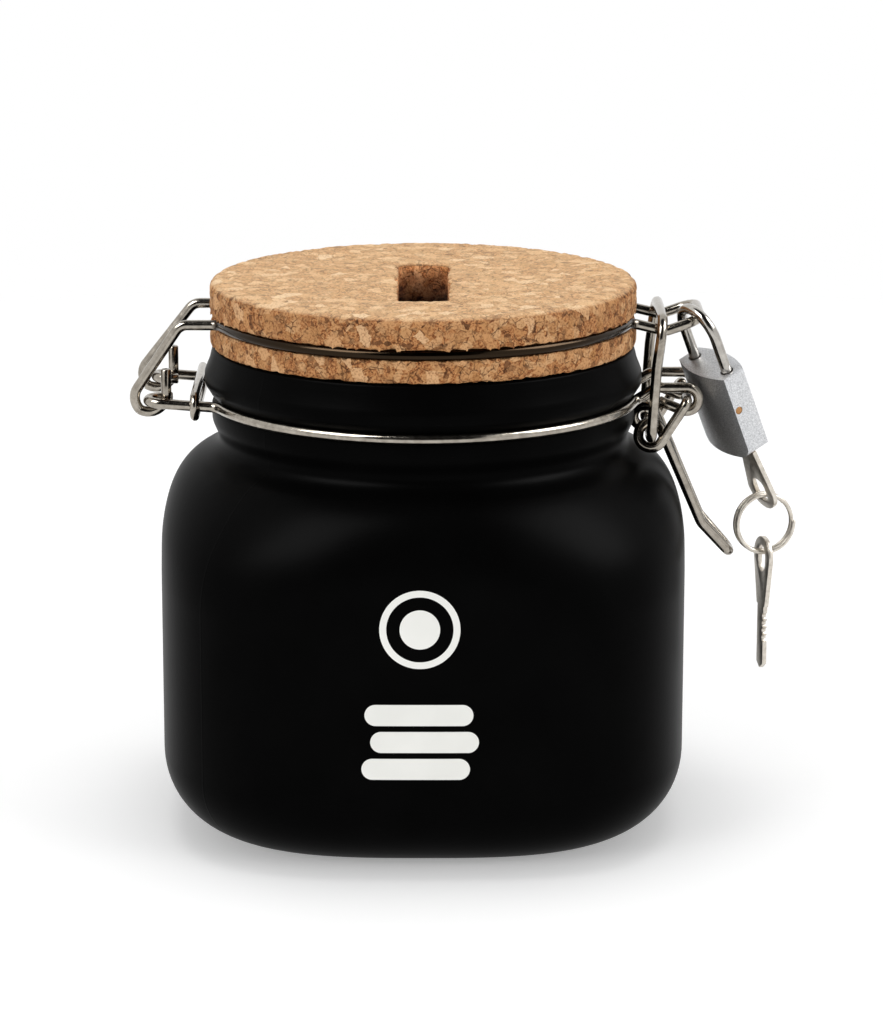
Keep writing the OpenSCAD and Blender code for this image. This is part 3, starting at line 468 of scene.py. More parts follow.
def neckWirePath():
    s = neckWire
    arm, inner = s["hingeHalf"] + s["hingeLoop"], s["hingeHalf"] - s["hingeLoop"]
    z, top, y = s["z"], s["hingeZ"], s["claspHalf"]
    direction = math.radians(s["tailDir"])
    loop = curlPoints(s["pivot"], loopR, 0, 360 - s["tailDir"], s["curlSteps"], -y, -y)
    tail = Vector((s["pivot"][0] - loopR * math.sin(direction), -y,
                   s["pivot"][1] + loopR * math.cos(direction)))
    points = [Vector((s["stub"] - s["hingeX"], -inner, top)), Vector((-s["hingeX"], -inner, top)),
              Vector((-s["hingeX"], -arm, top)), ringCorner(s["ringR"], arm, -1, z),
              ringVertex(s["ringR"], arm, y, z), ringCorner(s["ringR"], y, 1, z),
              Vector((s["riseX"], -y, s["pivot"][1] + loopR))]
    points += loop + [tail + s["tail"] * Vector((math.cos(direction), 0, math.sin(direction)))]
    corner = wireSize["cornerR"]
    bends = [0, s["hingeLoop"], s["hingeLoop"], corner, s["ringR"], wireSize["claspCornerR"], corner]
    return bentPath(points, bends + [loopR] * len(loop) + [0])


def clampPath():
    s = neckWire
    r, y = wireR + wireSize["clamp"] / 2 + wireSize["seat"], s["hingeHalf"] + s["hingeLoop"]
    cornerX = -ringCorner(s["ringR"], y, -1, 0).x
    z = s["z"] + (s["hingeZ"] - s["z"]) * (s["clampX"] - cornerX) / (s["hingeX"] - cornerX)
    out = []
    for side in (1, -1):
        for k in range(s["clampSteps"] + 1):
            angle = math.pi / 2 * side - math.pi * k / s["clampSteps"]
            out.append(Vector((-s["clampX"], side * y + r * math.cos(angle), z + r * math.sin(angle))))
    return out


frontPath = neckWirePath()
wirePiece("neckWireFront", frontPath, "jar", "neck_wire_front")
wirePiece("neckWireBack", flipped(frontPath), "jar", "neck_wire_back")
wirePiece("neckClampRing", clampPath(), "jar", "neck_clamp_ring", wireSize["clamp"], closed=True)
print("neck wires done")

# Lid wire: hinge hooks, ring in the cork's groove and the padlock's eye
lidWire = {"z": 113.2, "ringR": 46.5, "hookR": 3.95, "hookZ": 97.75, "hookTail": 7.0, "hookCornerX": 53.4,
           "hookSteps": 3, "skew": 1.5, "eyeHalf": 10.0, "eyeLowX": 53.5, "eyeDrop": 1.9, "eyeTipX": 61.2,
           "eyeRise": 2.7, "eyeCornerR": 4.0}


def lidWireHalf(cornerX):
    s, n = lidWire, neckWire
    y, z, lowZ = n["hingeHalf"], s["z"], s["z"] - s["eyeDrop"]
    riseX, riseZ = n["hingeX"] - cornerX, z - s["hookZ"]
    lean = math.degrees(math.atan2(riseZ, riseX) + math.asin(s["hookR"] / math.hypot(riseX, riseZ)))
    hook = [Vector((p.x - n["hingeX"], p.y, s["hookZ"] - p.z))
            for p in curlPoints((0, 0), s["hookR"], -(lean + 180), 270 - lean, s["hookSteps"], -y, -y)]
    half = [Vector((s["hookR"] - n["hingeX"], -y, n["hingeZ"] + s["hookTail"]))] + hook[::-1]
    half += [Vector((-cornerX, -y, z)), ringCorner(s["ringR"], y, -1, z),
             ringVertex(s["ringR"], y, s["eyeHalf"], z), ringCorner(s["ringR"], s["eyeHalf"], 1, z),
             Vector((s["eyeLowX"], -s["eyeHalf"], lowZ)),
             Vector((s["eyeTipX"], -s["eyeHalf"], lowZ + s["eyeRise"]))]
    return half


def lidWirePath():  # the back half was bent a little closer to the neck
    s = lidWire
    corner, arm = wireSize["cornerR"], wireSize["armCornerR"]
    bends = [0] + [s["hookR"]] * s["hookSteps"] + [corner, arm, s["ringR"], arm, corner, s["eyeCornerR"]]
    front, back = lidWireHalf(s["hookCornerX"]), lidWireHalf(s["hookCornerX"] - s["skew"])
    return bentPath(front + flipped(back), bends + bends[::-1])


wirePiece("lidWire", lidWirePath(), "lid", "lid_wire")

# Lever with its handle, and the bail that it pulls
lever = {"curl": (50.4, 87.8), "half": 11.3, "bend": (62.4, 66.5), "bendR": 4.5, "bendHalf": 4.5,
         "tip": (69.0, 59.1), "tipHalf": 2.5, "tipR": 2.3, "curlSteps": 4}
bail = {"half": 14.0, "barX": 52.7, "knee": (51.4, 103.8), "kneeR": 6.0, "cornerR": 4.5}


def leverPath():
    s, pivot, y = lever, neckWire["pivot"], neckWire["claspHalf"]
    toCurl = (s["curl"][0] - pivot[0], s["curl"][1] - pivot[1])
    toBend = (s["bend"][0] - s["curl"][0], s["bend"][1] - s["curl"][1])
    start = math.degrees(math.atan2(toCurl[1], toCurl[0]) + math.asin(loopR / math.hypot(*toCurl))) + 360
    finish = math.degrees(math.atan2(toBend[1], toBend[0]) - math.asin(loopR / math.hypot(*toBend)))
    turns = curlPoints(s["curl"], loopR, start, start - finish, s["curlSteps"], -s["half"], -y)
    pinEnd = y - wireR - 2 * wireSize["gap"]
    half = [Vector((pivot[0], -pinEnd, pivot[1])), Vector((pivot[0], -s["half"], pivot[1]))] + turns
    half += [Vector((s["bend"][0], -s["bendHalf"], s["bend"][1])),
             Vector((s["tip"][0], -s["tipHalf"], s["tip"][1]))]
    bends = [0, wireR + wireSize["gap"]] + [loopR] * s["curlSteps"] + [s["bendR"], s["tipR"]]
    return bentPath(half + flipped(half), bends + bends[::-1])


def bailPath():
    s, l = bail, lidWire
    corner = wireSize["cornerR"]
    startX = math.sqrt((l["ringR"] + corner) ** 2 - (l["eyeHalf"] + corner) ** 2)
    strandZ = l["z"] - l["eyeDrop"] + l["eyeDrop"] * (l["eyeLowX"] - s["barX"]) / (l["eyeLowX"] - startX)
    barZ = strandZ + wireSize["diameter"] + wireSize["gap"]
    pinEnd = neckWire["claspHalf"] - wireR - wireSize["gap"]
    cx, cz = lever["curl"]
    half = [Vector((cx, -pinEnd, cz)), Vector((cx, -s["half"], cz)),
            Vector((s["knee"][0], -s["half"], s["knee"][1])), Vector((s["barX"], -s["half"], barZ))]
    bends = [0, wireR + wireSize["gap"], s["kneeR"], s["cornerR"]]
    return bentPath(half + flipped(half), bends + bends[::-1])


wirePiece("clampLever", leverPath(), "lever", "lever")
wirePiece("clampBail", bailPath(), "bail", "bail")
print("lid wire, lever and bail done")

# Jar: rings of a rounded square that turn round at the neck
jar = {"halfW": 58.5, "square": 3.07, "baseInset": 20.0, "baseRound": 18.0, "shoulderZ": 64.0,
       "neckRootZ": 83.0, "wall": 4.5, "floor": 6.0, "neckR": 47.2, "beadR": 48.8, "beadZ": 99.6,
       "beadHalf": 1.2, "rimZ": 106.8, "mouthR": 42.0, "grooveZ": 95.3, "grooveDepth": 0.85, "rimRound": 0.7,
       "rimStep": 4, "swell": 0.2, "wallSteps": 6, "blendDrop": 8.0, "blendSteps": 6, "waist": 1.4,
       "waistLow": 3.2, "waistTop": 8.0, "waistSteps": 10, "flareFrom": 72, "flare": 2.2, "flareSteps": 14,
       "sides": 192, "step": 4, "sharp": 60,
       # eased edges: a radius and what it gains, then a share of the groove or a height, and what that gains
       "grooveEdge": [("neck", 0, -1, -0.4), ("neck", -0.1, -1, -0.1), ("groove", 0.2, -0.65, 0),
                      ("groove", 0, -0.45, 0), ("groove", 0, 0.45, 0), ("groove", 0.25, 0.7, 0),
                      ("lip", -0.1, 1, -0.1), ("lip", 0.2, 1, 0.2)],
       "beadEdge": [("bead", -0.5, "low", -0.5), ("bead", -0.12, "low", 0.05), ("bead", 0, "low", 0.5),
                    ("bead", 0, "high", -0.5), ("bead", -0.08, "high", 0.1), ("bead", -0.35, "high", 0.8),
                    ("lip", 0.25, "rim", -3.2), ("lip", 0, "rim", -2.1), ("neck", -0.05, "rim", -1.2)]}


def squareness(z):  # the plan turns evenly from square to round below the neck
    s = jar
    low = s["shoulderZ"] - s["blendDrop"]
    share = max(0.0, min(1.0, (z - low) / (s["neckRootZ"] - low)))
    return s["square"] + (2 - s["square"]) * share * share * (3 - 2 * share)


def jarRings():
    s = jar
    up = [math.radians(a) for a in range(0, 90, s["step"])] + [math.pi / 2]
    down = up[::-1]
    half = wireR + wireSize["seat"]
    neck, wallTop, wallSteps = s["neckR"], s["shoulderZ"] - s["blendDrop"], s["wallSteps"]
    wide = {"neck": neck, "groove": neck - s["grooveDepth"], "bead": s["beadR"], "lip": neck + s["swell"]}
    high = {"low": s["beadZ"] - s["beadHalf"], "high": s["beadZ"] + s["beadHalf"], "rim": s["rimZ"]}
    blend = [s["blendDrop"] * k / s["blendSteps"] for k in range(1, s["blendSteps"])]
    rise = s["neckRootZ"] - s["shoulderZ"]
    rings = [(s["halfW"] - s["baseInset"] * (1 - math.sin(t)), s["baseRound"] * (1 - math.cos(t))) for t in up]
    rings += [(s["halfW"], s["baseRound"] + (wallTop - s["baseRound"]) * k / wallSteps)
              for k in range(1, wallSteps + 1)]
    rings += [(s["halfW"], wallTop + d) for d in blend]
    last = math.radians(s["flareFrom"])
    rings += [(neck + (s["halfW"] - neck) * math.cos(t), s["shoulderZ"] + rise * math.sin(t))
              for t in up if t < last]
    # the shoulder flares into the neck's waist, which widens again below the groove
    ends = [Vector((neck + (s["halfW"] - neck) * math.cos(last), s["shoulderZ"] + rise * math.sin(last))),
            Vector((neck - s["waist"], s["neckRootZ"] + s["waistLow"]))]
    leave = Vector(((neck - s["halfW"]) * math.sin(last), rise * math.cos(last))).normalized() * s["flare"]
    pulls = [ends[0] + leave, ends[1] - Vector((0, s["flare"]))]
    rings += [tuple(p) for p in interpolate_bezier(ends[0], pulls[0], pulls[1], ends[1], s["flareSteps"])]
    for k in range(1, s["waistSteps"] + 1):
        share = k / s["waistSteps"]
        rings.append((neck - s["waist"] * (1 + math.cos(math.pi * share)) / 2,
                      s["neckRootZ"] + s["waistLow"] + (s["waistTop"] - s["waistLow"]) * share))
    # groove for the wire and the bead over it
    rings += [(wide[r] + more, s["grooveZ"] + half * share + lift) for r, more, share, lift in s["grooveEdge"]]
    rings += [(wide[r] + more, high[z] + lift) for r, more, z, lift in s["beadEdge"]]
    r, quarter = s["rimRound"], up[::s["rimStep"]]
    rings += [(neck - s["swell"] - r * (1 - math.cos(t)), s["rimZ"] - r * (1 - math.sin(t))) for t in quarter]
    rings += [(s["mouthR"] + r * (1 - math.sin(t)), s["rimZ"] - r * (1 - math.cos(t))) for t in quarter]
    rings += [(s["mouthR"], s["neckRootZ"])]
    inner, rise = s["halfW"] - s["wall"], s["neckRootZ"] - s["wall"] / 2 - s["shoulderZ"]
    rings += [(s["mouthR"] + (inner - s["mouthR"]) * math.cos(t), s["shoulderZ"] + rise * math.sin(t))
              for t in down]
    rings += [(inner, s["shoulderZ"] - d) for d in blend]
    rings += [(inner - s["baseInset"] * (1 - math.sin(t)), s["floor"] + s["baseRound"] * (1 - math.cos(t)))
              for t in down]
    return [(r, z, squareness(z)) for r, z in rings]


def jarPiece():
    rings, n = jarRings(), jar["sides"]
    points, faces = [], []
    for half, z, square in rings:
        for i in range(n):
            a = 2 * math.pi * i / n
            c, k = math.cos(a), math.sin(a)
            r = half / (abs(c) ** square + abs(k) ** square) ** (1 / square)
            points.append((r * c * mm, r * k * mm, z * mm))
    for k in range(len(rings) - 1):
        for i in range(n):
            j = (i + 1) % n
            faces.append((k * n + i, k * n + j, (k + 1) * n + j, (k + 1) * n + i))
    points += [(0, 0, 0), (0, 0, jar["floor"] * mm)]
    last = (len(rings) - 1) * n
    for i in range(n):
        j = (i + 1) % n
        faces += [(len(points) - 2, j, i), (len(points) - 1, last + i, last + j)]
    mesh = bpy.data.meshes.new("jarShell")
    mesh.from_pydata(points, [], faces)
    smooth(mesh, jar["sharp"])
    return linked("jarShell", mesh)


finishPiece(jarPiece(), "jar", "jar", looks["jar"])
print("jar done")

# Cork lid: turned disc with plug, groove and slot, then roughened like pressed granules
corkLid = {"bottom": 107.1, "thick": 14.2, "radius": 47.5, "round": 1.6, "plugH": 7.0, "footR": 38.4,
           "plugR": 40.6, "edge": 0.4, "grooveZ": 113.2, "grooveR": 46.5, "grooveSteps": 12, "roundSteps": 6,
           "segments": 160, "slot": (11.0, 45.0), "slotShift": 4.0, "slotCorner": 2.0, "slotSteps": 24,
           "slotOver": 2, "voxel": 0.62, "easeShare": 0.5, "easeTimes": 2, "seed": 5,
           "granule": 3.4, "bend": 0.35, "bendSize": 2.2, "seam": 0.22, "pit": 0.42, "patchSize": 5.0,
           "patchLift": 0.35, "patchAt": (7, 3, 1), "grit": 0.10, "gritSize": 0.9, "rim": 2.5, "chip": 0.5,
           "chipSize": 2.6, "chipLift": -0.12, "chipAt": (1, 9, 4), "nearSlot": 0.6, "sawn": 1.1,
           "sawnSize": 2.0, "sawnLift": 0.1, "sawnAt": (5, 2, 8)}


def lathe(profile, segments):  # closed profile of (radius, height) turned round the axis
    count = len(profile)
    points, faces = [], []
    for i in range(segments):
        a = 2 * math.pi * i / segments
        points += [(r * math.cos(a) * mm, r * math.sin(a) * mm, z * mm) for r, z in profile]
    for i in range(segments):
        j = (i + 1) % segments
        for k in range(count - 1):
            faces.append((i * count + k, j * count + k, j * count + k + 1, i * count + k + 1))
    mesh = bpy.data.meshes.new("turned")
    mesh.from_pydata(points, [], faces)
    welded(mesh, weld["turned"])
    return mesh


def corkPiece():
    s = corkLid
    low, top, groove = s["bottom"], s["bottom"] + s["thick"], wireR + wireSize["seat"]
    profile = [(0, low - s["plugH"]), (s["footR"], low - s["plugH"]), (s["plugR"], low),
               (s["radius"] - s["edge"], low), (s["radius"], low + s["edge"])]
    half = math.acos((s["radius"] - s["grooveR"]) / groove)
    for k in range(s["grooveSteps"] + 1):  # groove for the wire
        a = -half - (2 * math.pi - 2 * half) * k / s["grooveSteps"]
        profile.append((s["grooveR"] + groove * math.cos(a), s["grooveZ"] + groove * math.sin(a)))
    for k in range(s["roundSteps"] + 1):
        a = math.pi / 2 * k / s["roundSteps"]
        profile.append((s["radius"] - s["round"] * (1 - math.cos(a)), top - s["round"] * (1 - math.sin(a))))
    profile.append((0, top))
    piece = linked("corkLid", lathe(profile, s["segments"]))
    w, l, c = s["slot"][0] / 2 - s["slotCorner"], s["slot"][1] / 2 - s["slotCorner"], s["slotCorner"]
    outline = []
    for k in range(s["slotSteps"]):
        a = 2 * math.pi * (k + 0.5) / s["slotSteps"]
        outline.append((math.copysign(w, math.cos(a)) + c * math.cos(a),
                        math.copysign(l, math.sin(a)) + c * math.sin(a) - s["slotShift"]))
    cutter = bmesh.new()
    foot = (low - s["plugH"] - s["slotOver"]) * mm
    floorFace = cutter.faces.new([cutter.verts.new((x * mm, y * mm, foot)) for x, y in outline])
    grown = bmesh.ops.extrude_face_region(cutter, geom=[floorFace])["geom"]
    bmesh.ops.translate(cutter, verts=[v for v in grown if isinstance(v, bmesh.types.BMVert)],
                        vec=(0, 0, (s["plugH"] + s["thick"] + 2 * s["slotOver"]) * mm))
    bmesh.ops.recalc_face_normals(cutter, faces=cutter.faces)
    tool = linked("slotTool", bpy.data.meshes.new("slotTool"))
    cutter.to_mesh(tool.data)
    cutter.free()
    cutAway(piece, tool)
    even = piece.modifiers.new("even", "REMESH")
    even.mode, even.voxel_size = "VOXEL", s["voxel"] * mm
    ease = piece.modifiers.new("ease", "SMOOTH")
    ease.factor, ease.iterations = s["easeShare"], s["easeTimes"]
    applied(piece)
    bpy.data.objects.remove(tool)
    roughen(piece.data)
    smooth(piece.data)
    return piece


def roughen(mesh):  # pits between the granules, and crumbled edges, always inwards
    s = corkLid
    noise.seed_set(s["seed"])  # the clock would seed noise_vector
    rim, reach = s["radius"] - s["rim"], [side / 2 + s["nearSlot"] for side in s["slot"]]
    normals = [v.normal.copy() for v in mesh.vertices]
    for v, normal in zip(mesh.vertices, normals):
        p = v.co * metre
        distances, _ = noise.voronoi(p / s["granule"] + s["bend"] * noise.noise_vector(p / s["bendSize"]))
        gap = max(0.0, 1 - (distances[1] - distances[0]) / s["seam"])
        patch = noise.noise(p / s["patchSize"] + Vector(s["patchAt"]))
        depth = s["pit"] * gap * max(0.0, s["patchLift"] + patch)
        depth += s["grit"] * max(0.0, noise.noise(p / s["gritSize"]))
        if math.hypot(p.x, p.y) > rim:  # edges crumble more
            chip = noise.noise(p / s["chipSize"] + Vector(s["chipAt"]))
            depth += s["chip"] * max(0.0, chip + s["chipLift"])
        elif abs(p.x) < reach[0] and abs(p.y + s["slotShift"]) < reach[1]:  # sawn walls most of all
            sawn = noise.noise(p / s["sawnSize"] + Vector(s["sawnAt"]))
            depth += s["sawn"] * max(0.0, sawn + s["sawnLift"])
        v.co -= normal * depth * mm


finishPiece(corkPiece(), "lid", "cork_lid", looks["cork"])
print("cork lid done")

# Padlock: its own frame hangs from the lid's eye, origin in the middle of the body's top
padlock = {"hang": (60.028427, -8.828427, 113.589189), "hangH": 11.75, "lean": 25.3, "roll": 5.2,
           "turn": -59.3, "bowR": 6.2, "bowSteps": 32, "shackleD": 2.4, "rise": 8.2, "longLeg": 15.5,
           "shortLeg": 4.2, "notchZ": -1.3, "notchTip": 1.3, "notchOver": 1, "notchHalf": 2, "slope": 1.82,
           "edge": 0.4, "pinEdge": 0.12, "plugEdge": 0.1, "edgeSteps": 3, "flat": 0.6, "sharp": 35,
           "springEnd": 0.3, "springSharp": 60}


def turned(x, y, z):  # rotation in degrees about X, then Y, then Z
    return (Matrix.Rotation(math.radians(z), 4, "Z") @ Matrix.Rotation(math.radians(y), 4, "Y")
            @ Matrix.Rotation(math.radians(x), 4, "X"))


onPadlock = (Matrix.Translation(padlock["hang"]) @ turned(padlock["lean"], padlock["roll"], padlock["turn"])
             @ Matrix.Translation((0, 0, -padlock["hangH"])))


def eased(node, name, edge):  # a solid of the frame with its edges rounded
    s = padlock
    mesh = nodes[node].data.copy()
    mesh.name = name
    welded(mesh, weld["solid"], s["flat"])
    piece = linked(name, mesh)
    bevel = piece.modifiers.new("edge", "BEVEL")
    bevel.width, bevel.segments, bevel.limit_method = edge * mm, s["edgeSteps"], "ANGLE"
    bevel.angle_limit, bevel.use_clamp_overlap = math.radians(s["sharp"]), True
    applied(piece)
    smooth(piece.data, s["sharp"])
    return piece


def shacklePiece():
    s = padlock
    r, rise = s["bowR"], s["rise"]
    path = [Vector((-r, 0, -s["longLeg"])), Vector((-r, 0, 0))]
    turns = [math.pi * k / s["bowSteps"] for k in range(s["bowSteps"] + 1)]
    path += [Vector((-r * math.cos(a), 0, rise + r * math.sin(a))) for a in turns]
    path += [Vector((r, 0, 0)), Vector((r, 0, -s["shortLeg"]))]
    piece = tubePiece("padlockShackle", [onPadlock @ p for p in path], s["shackleD"], looks["shackle"])
    # notch for the latch in the short leg, cut by a wedge whose faces look outwards
    inner, high, low = r - s["shackleD"] / 2, s["notchZ"], s["notchZ"] - s["notchTip"] * s["slope"]
    mouth = inner - s["notchOver"]
    wedge = [(mouth, high), (inner + s["notchTip"], high), (inner, low), (mouth, low)]
    sides = (-s["notchHalf"], s["notchHalf"])
    corners = [onPadlock @ Vector((x, y, z)) * mm for y in sides for x, z in wedge]
    tool = linked("notchTool", bpy.data.meshes.new("notchTool"))
    tool.data.from_pydata(corners, [], [(3, 2, 1, 0), (4, 5, 6, 7), (1, 5, 4, 0), (2, 6, 5, 1), (3, 7, 6, 2),
                                        (0, 4, 7, 3)])
    cutAway(piece, tool)
    applied(piece)
    bpy.data.objects.remove(tool)
    smooth(piece.data, wireSize["sharp"])
    return piece


finishPiece(shacklePiece(), "shackle", "padlock_shackle", looks["shackle"])
for node, name, edge, body, slotName, look in (
        ("padlock_body", "padlockBody", "edge", "padlock", "padlock_paint", "lock"),
        ("padlock_retaining_pin", "retainingPin", "pinEdge", "padlock", "brass", "brass"),
        ("padlock_plug", "keyPlug", "plugEdge", "plug", "brass", "brass")):
    finishPiece(eased(node, name, padlock[edge]), body, node, looks[look])
for node in ["padlock_latch"] + [f"padlock_wafer_{k}" for k in range(1, 5)]:
    nodes[node].data.materials.clear()
    nodes[node].data.materials.append(looks["brass"])


def springPiece():  # one end stays with the body and the other with the latch, so that it shortens
    s = padlock
    mesh = nodes["padlock_latch_spring"].data.copy()
    mesh.name = "latchSpring"
    mesh.materials.clear()
    mesh.materials.append(looks["wire"])
    smooth(mesh, s["springSharp"])
    piece = linked("latchSpring", mesh)
    along = [(onPadlock.inverted() @ (v.co / mm)).x for v in mesh.vertices]
    ends = (min(along) + s["springEnd"], max(along) - s["springEnd"])
    start, end = (tuple(onPadlock @ Vector((x, 0, 0)) * mm) for x in ends)
    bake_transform(piece, "padlock", "latch", start=start, end=end)
    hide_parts("padlock_latch_spring")


springPiece()
print("padlock done")

# Keys: stamped flat, with a rounded bow, its long hole and a cut blade
key = {"thick": 1.1, "bladeW": 3.7, "bladeL": 14.2, "bowL": 16.6, "bowW": 9.6, "bowSteps": 36, "holeW": 4.4,
       "holeL": 6.0, "holeSteps": 18, "rim": 2.0, "step": 0.6, "cut": 0.8, "cutSteps": 8, "firstCut": 1.8,
       "pitch": 1.7, "cuts": 4, "plugShift": 3.5, "outZ": -21.5, "edge": 0.16, "edgeSteps": 2, "sharp": 40}
ring = {"radius": 6.6, "wire": 1.0, "pitch": 1.46, "turns": 1.9, "end": 40.0, "turn": 16.0, "lift": 1.5,
        "steps": 96}


def keyOutline():
    s = key
    half, tip, endR = s["bladeW"] / 2, s["bladeW"] / 3, s["bowW"] / 2
    out = [(half + s["step"], -s["step"]), (half, -s["step"])]
    for i in range(s["cuts"]):
        for k in range(s["cutSteps"] + 1):
            a = math.radians(270 - 180 * k / s["cutSteps"])
            out.append((half + s["cut"] * math.cos(a), s["firstCut"] + i * s["pitch"] + s["cut"] * math.sin(a)))
    out += [(half, s["bladeL"] - tip), (0, s["bladeL"]), (-half, s["bladeL"] - tip), (-half, -s["step"]),
            (-half - s["step"], -s["step"])]
    turns = [math.pi * (1 + k / s["bowSteps"]) for k in range(s["bowSteps"] + 1)]
    return out + [(endR * math.cos(a), endR - s["bowL"] + endR * math.sin(a)) for a in turns]


def keyHole():
    s = key
    r = s["holeW"] / 2
    low, high = s["rim"] + r - s["bowL"], s["rim"] + s["holeL"] - r - s["bowL"]
    turns = [math.pi * k / s["holeSteps"] for k in range(s["holeSteps"] + 1)]
    return ([(r * math.cos(a), high + r * math.sin(a)) for a in turns]
            + [(-r * math.cos(a), low - r * math.sin(a)) for a in turns])


def keyPiece(name, place):  # outline and hole filled as a flat curve with eased edges, then made a mesh
    curve = bpy.data.curves.new(name, "CURVE")
    curve.dimensions, curve.fill_mode = "2D", "BOTH"
    curve.bevel_depth, curve.bevel_resolution = key["edge"] * mm, key["edgeSteps"]
    curve.extrude = (key["thick"] / 2 - key["edge"]) * mm
    curve.offset = -key["edge"] * mm
    for outline in (keyOutline(), keyHole()):
        spline = curve.splines.new("POLY")
        spline.points.add(len(outline) - 1)
        for point, (x, z) in zip(spline.points, outline):
            point.co = (x * mm, z * mm, 0, 1)
        spline.use_cyclic_u = True
    flat = linked(name + "Flat", curve)
    mesh = plainMesh(flat)
    bpy.data.objects.remove(flat)
    welded(mesh, weld["solid"])
    mesh.transform(Matrix.Scale(mm, 4) @ place @ turned(90, 0, 0) @ Matrix.Scale(1 / mm, 4))
    smooth(mesh, key["sharp"])
    return linked(name, mesh)


holeEnd = key["rim"] - key["bowL"]
ringSeat = onPadlock @ Vector((key["plugShift"], 0, key["outZ"] + holeEnd + ring["lift"]))
onRing = Matrix.Translation(ringSeat) @ turned(0, 0, ring["turn"])


def ringPath():
    s = ring
    topAdvance = s["pitch"] * ((90 - s["end"]) / 360 + 0.5)
    out = []
    for k in range(s["steps"] + 1):
        turn = s["turns"] * k / s["steps"]
        a = math.radians(s["end"] + 360 * turn)
        out.append(onRing @ Vector((s["radius"] * math.cos(a), topAdvance - s["pitch"] * turn,
                                    s["radius"] * math.sin(a) - s["radius"])))
    return out


lockPlace = onPadlock @ Matrix.Translation((key["plugShift"], 0, key["outZ"]))
finishPiece(keyPiece("lockKey", lockPlace), "key", "lock_key", looks["nickel"])
finishPiece(tubePiece("splitRing", ringPath(), ring["wire"], looks["nickel"]), "ring", "key_ring",
            looks["nickel"])
spareDrop = 2 * ring["radius"] - ring["lift"]
sparePlace = (onRing @ Matrix.Translation((0, -ring["pitch"] / 2, -spareDrop)) @ turned(0, 180, 90)
              @ Matrix.Translation((0, 0, key["bowL"] - key["rim"])))
finishPiece(keyPiece("spareKey", sparePlace), "spare", "spare_key", looks["nickel"])
print("keys and ring done")

# Studio: pale floor, soft boxes, cards that only reflections see, and a camera where the photograph was taken
studio = {"floor": [(0.3, "#f4f4f4"), (0.7, "#f7f7f7")], "fibre": 60, "floorRough": 0.9, "floorSpecular": 0.1,
          "floorGlow": 0.28, "floorR": 800, "floorSides": 64, "floorFade": (350, 780),
          "cameraAt": (0, -837.5, 275.3), "pitch": 13.92, "lens": 134.42, "sensor": 36, "shiftX": 0.0179,
          "world": 0.55, "aim": (0, 0, 60),
          "boxes": [("leftBox", (-830, -820, 400), 520, 3.5), ("rightBox", (1010, -600, 360), 520, 3.5),
                    ("topBox", (0, 150, 1300), 900, 5.0)],
          "cards": [("frontCard", (0, -2000, 1250), (2600, 2300), 0.01),
                    ("topCard", (0, -300, 2300), (2400, 2200), 0.01),
                    ("leftGleam", (-672, -476, 932), (620, 620), 10.5),
                    ("rightGleam", (878, -95, 871), (620, 620), 11.0)]}


def shownToEye(tree):  # 1 for rays from the camera, and through gloss or glass
    rays = addNode(tree, "ShaderNodeLightPath").outputs
    mirrored = addNode(tree, "ShaderNodeMath", "MAXIMUM", [rays["Is Glossy Ray"], rays["Is Transmission Ray"]])
    return addNode(tree, "ShaderNodeMath", "MAXIMUM", [rays["Is Camera Ray"], mirrored])


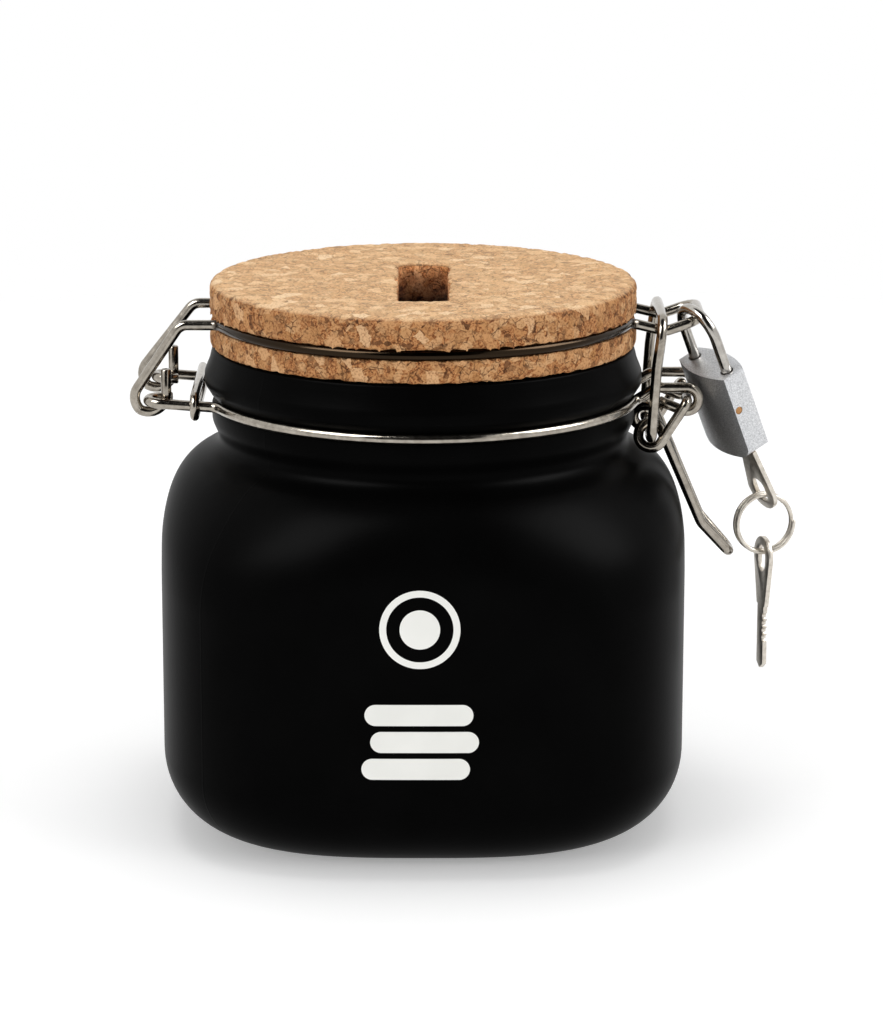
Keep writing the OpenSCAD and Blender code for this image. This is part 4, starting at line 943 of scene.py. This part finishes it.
def floorPiece():
    s = studio
    mesh = bpy.data.meshes.new("floor")
    sides = range(s["floorSides"])
    mesh.from_pydata([(s["floorR"] * mm * math.cos(a), s["floorR"] * mm * math.sin(a), 0)
                      for a in (2 * math.pi * k / len(sides) for k in sides)], [], [tuple(sides)])
    piece = linked("floor", mesh)
    material, tree, shader = newMaterial("paleStudioPaper", {
        "Roughness": s["floorRough"], "Specular IOR Level": s["floorSpecular"], "Emission Color": (1, 1, 1, 1)})
    add = partial(addNode, tree)
    coords = add("ShaderNodeTexCoord").outputs["Object"]
    fibre = add("ShaderNodeTexNoise", inputs={"Vector": coords, "Scale": perMetre(s["fibre"])})
    color = add("ShaderNodeValToRGB", inputs={"Fac": fibre}, stops=s["floor"])
    glow = add("ShaderNodeMath", "MULTIPLY", [shownToEye(tree), s["floorGlow"]])
    setInputs(tree, shader, {"Base Color": color, "Emission Strength": glow})
    # the paper fades into the white world
    far = add("ShaderNodeVectorMath", "LENGTH", [coords]).outputs["Value"]
    fade = add("ShaderNodeMapRange", {"interpolation_type": "SMOOTHSTEP"},
               [far] + [r * mm for r in s["floorFade"]])
    clear = add("ShaderNodeBsdfTransparent")
    mixed = add("ShaderNodeMixShader", inputs=[fade, shader, clear])
    setInputs(tree, tree.nodes["Material Output"], {"Surface": mixed})
    mesh.materials.append(material)


def aimed(place):  # turned from a place to the object
    return (Vector(studio["aim"]) - Vector(place)).to_track_quat("-Z", "Y")


def softBox(name, place, size, power):
    lamp = bpy.data.lights.new(name, "AREA")
    lamp.size, lamp.energy = size * mm, power
    piece = linked(name, lamp)
    piece.location = Vector(place) * mm
    piece.rotation_euler = aimed(place).to_euler()
    piece.visible_glossy = False  # the gleams stand for it in reflections


def studioCard(name, place, size, glow):  # seen only in gloss: near black, or as bright as a soft box
    w, h = size[0] / 2, size[1] / 2
    turn = aimed(place)
    corners = [(turn @ Vector(p) + Vector(place)) * mm
               for p in ((-w, -h, 0), (w, -h, 0), (w, h, 0), (-w, h, 0))]
    mesh = bpy.data.meshes.new(name)
    mesh.from_pydata(corners, [], [(3, 2, 1, 0)])
    mesh.materials.append(newMaterial(name + "Card", {
        "Base Color": (0, 0, 0, 1), "Roughness": 1.0, "Specular IOR Level": 0.0,
        "Emission Color": (1, 1, 1, 1), "Emission Strength": glow})[0])
    piece = linked(name, mesh)
    piece.visible_camera = piece.visible_diffuse = piece.visible_shadow = piece.visible_transmission = False


floorPiece()
for box in studio["boxes"]:
    softBox(*box)
for card in studio["cards"]:
    studioCard(*card)
world = bpy.data.worlds.new("studio")
world.use_nodes = True
sky = world.node_tree
strength = addNode(sky, "ShaderNodeMapRange", inputs=[shownToEye(sky), 0.0, 1.0, studio["world"], 1.0])
setInputs(sky, sky.nodes["Background"], {"Strength": strength, "Color": (1, 1, 1, 1)})
scene.world = world
scene.view_settings.view_transform = "Standard"

lens = bpy.data.cameras.new("photoCamera")
lens.lens, lens.shift_x = studio["lens"], studio["shiftX"]
lens.sensor_width, lens.sensor_fit = studio["sensor"], "AUTO"
camera = linked("photoCamera", lens)
camera.location = Vector(studio["cameraAt"]) * mm
camera.rotation_euler = (math.radians(90 - studio["pitch"]), 0, 0)
scene.camera = camera
print("studio done")
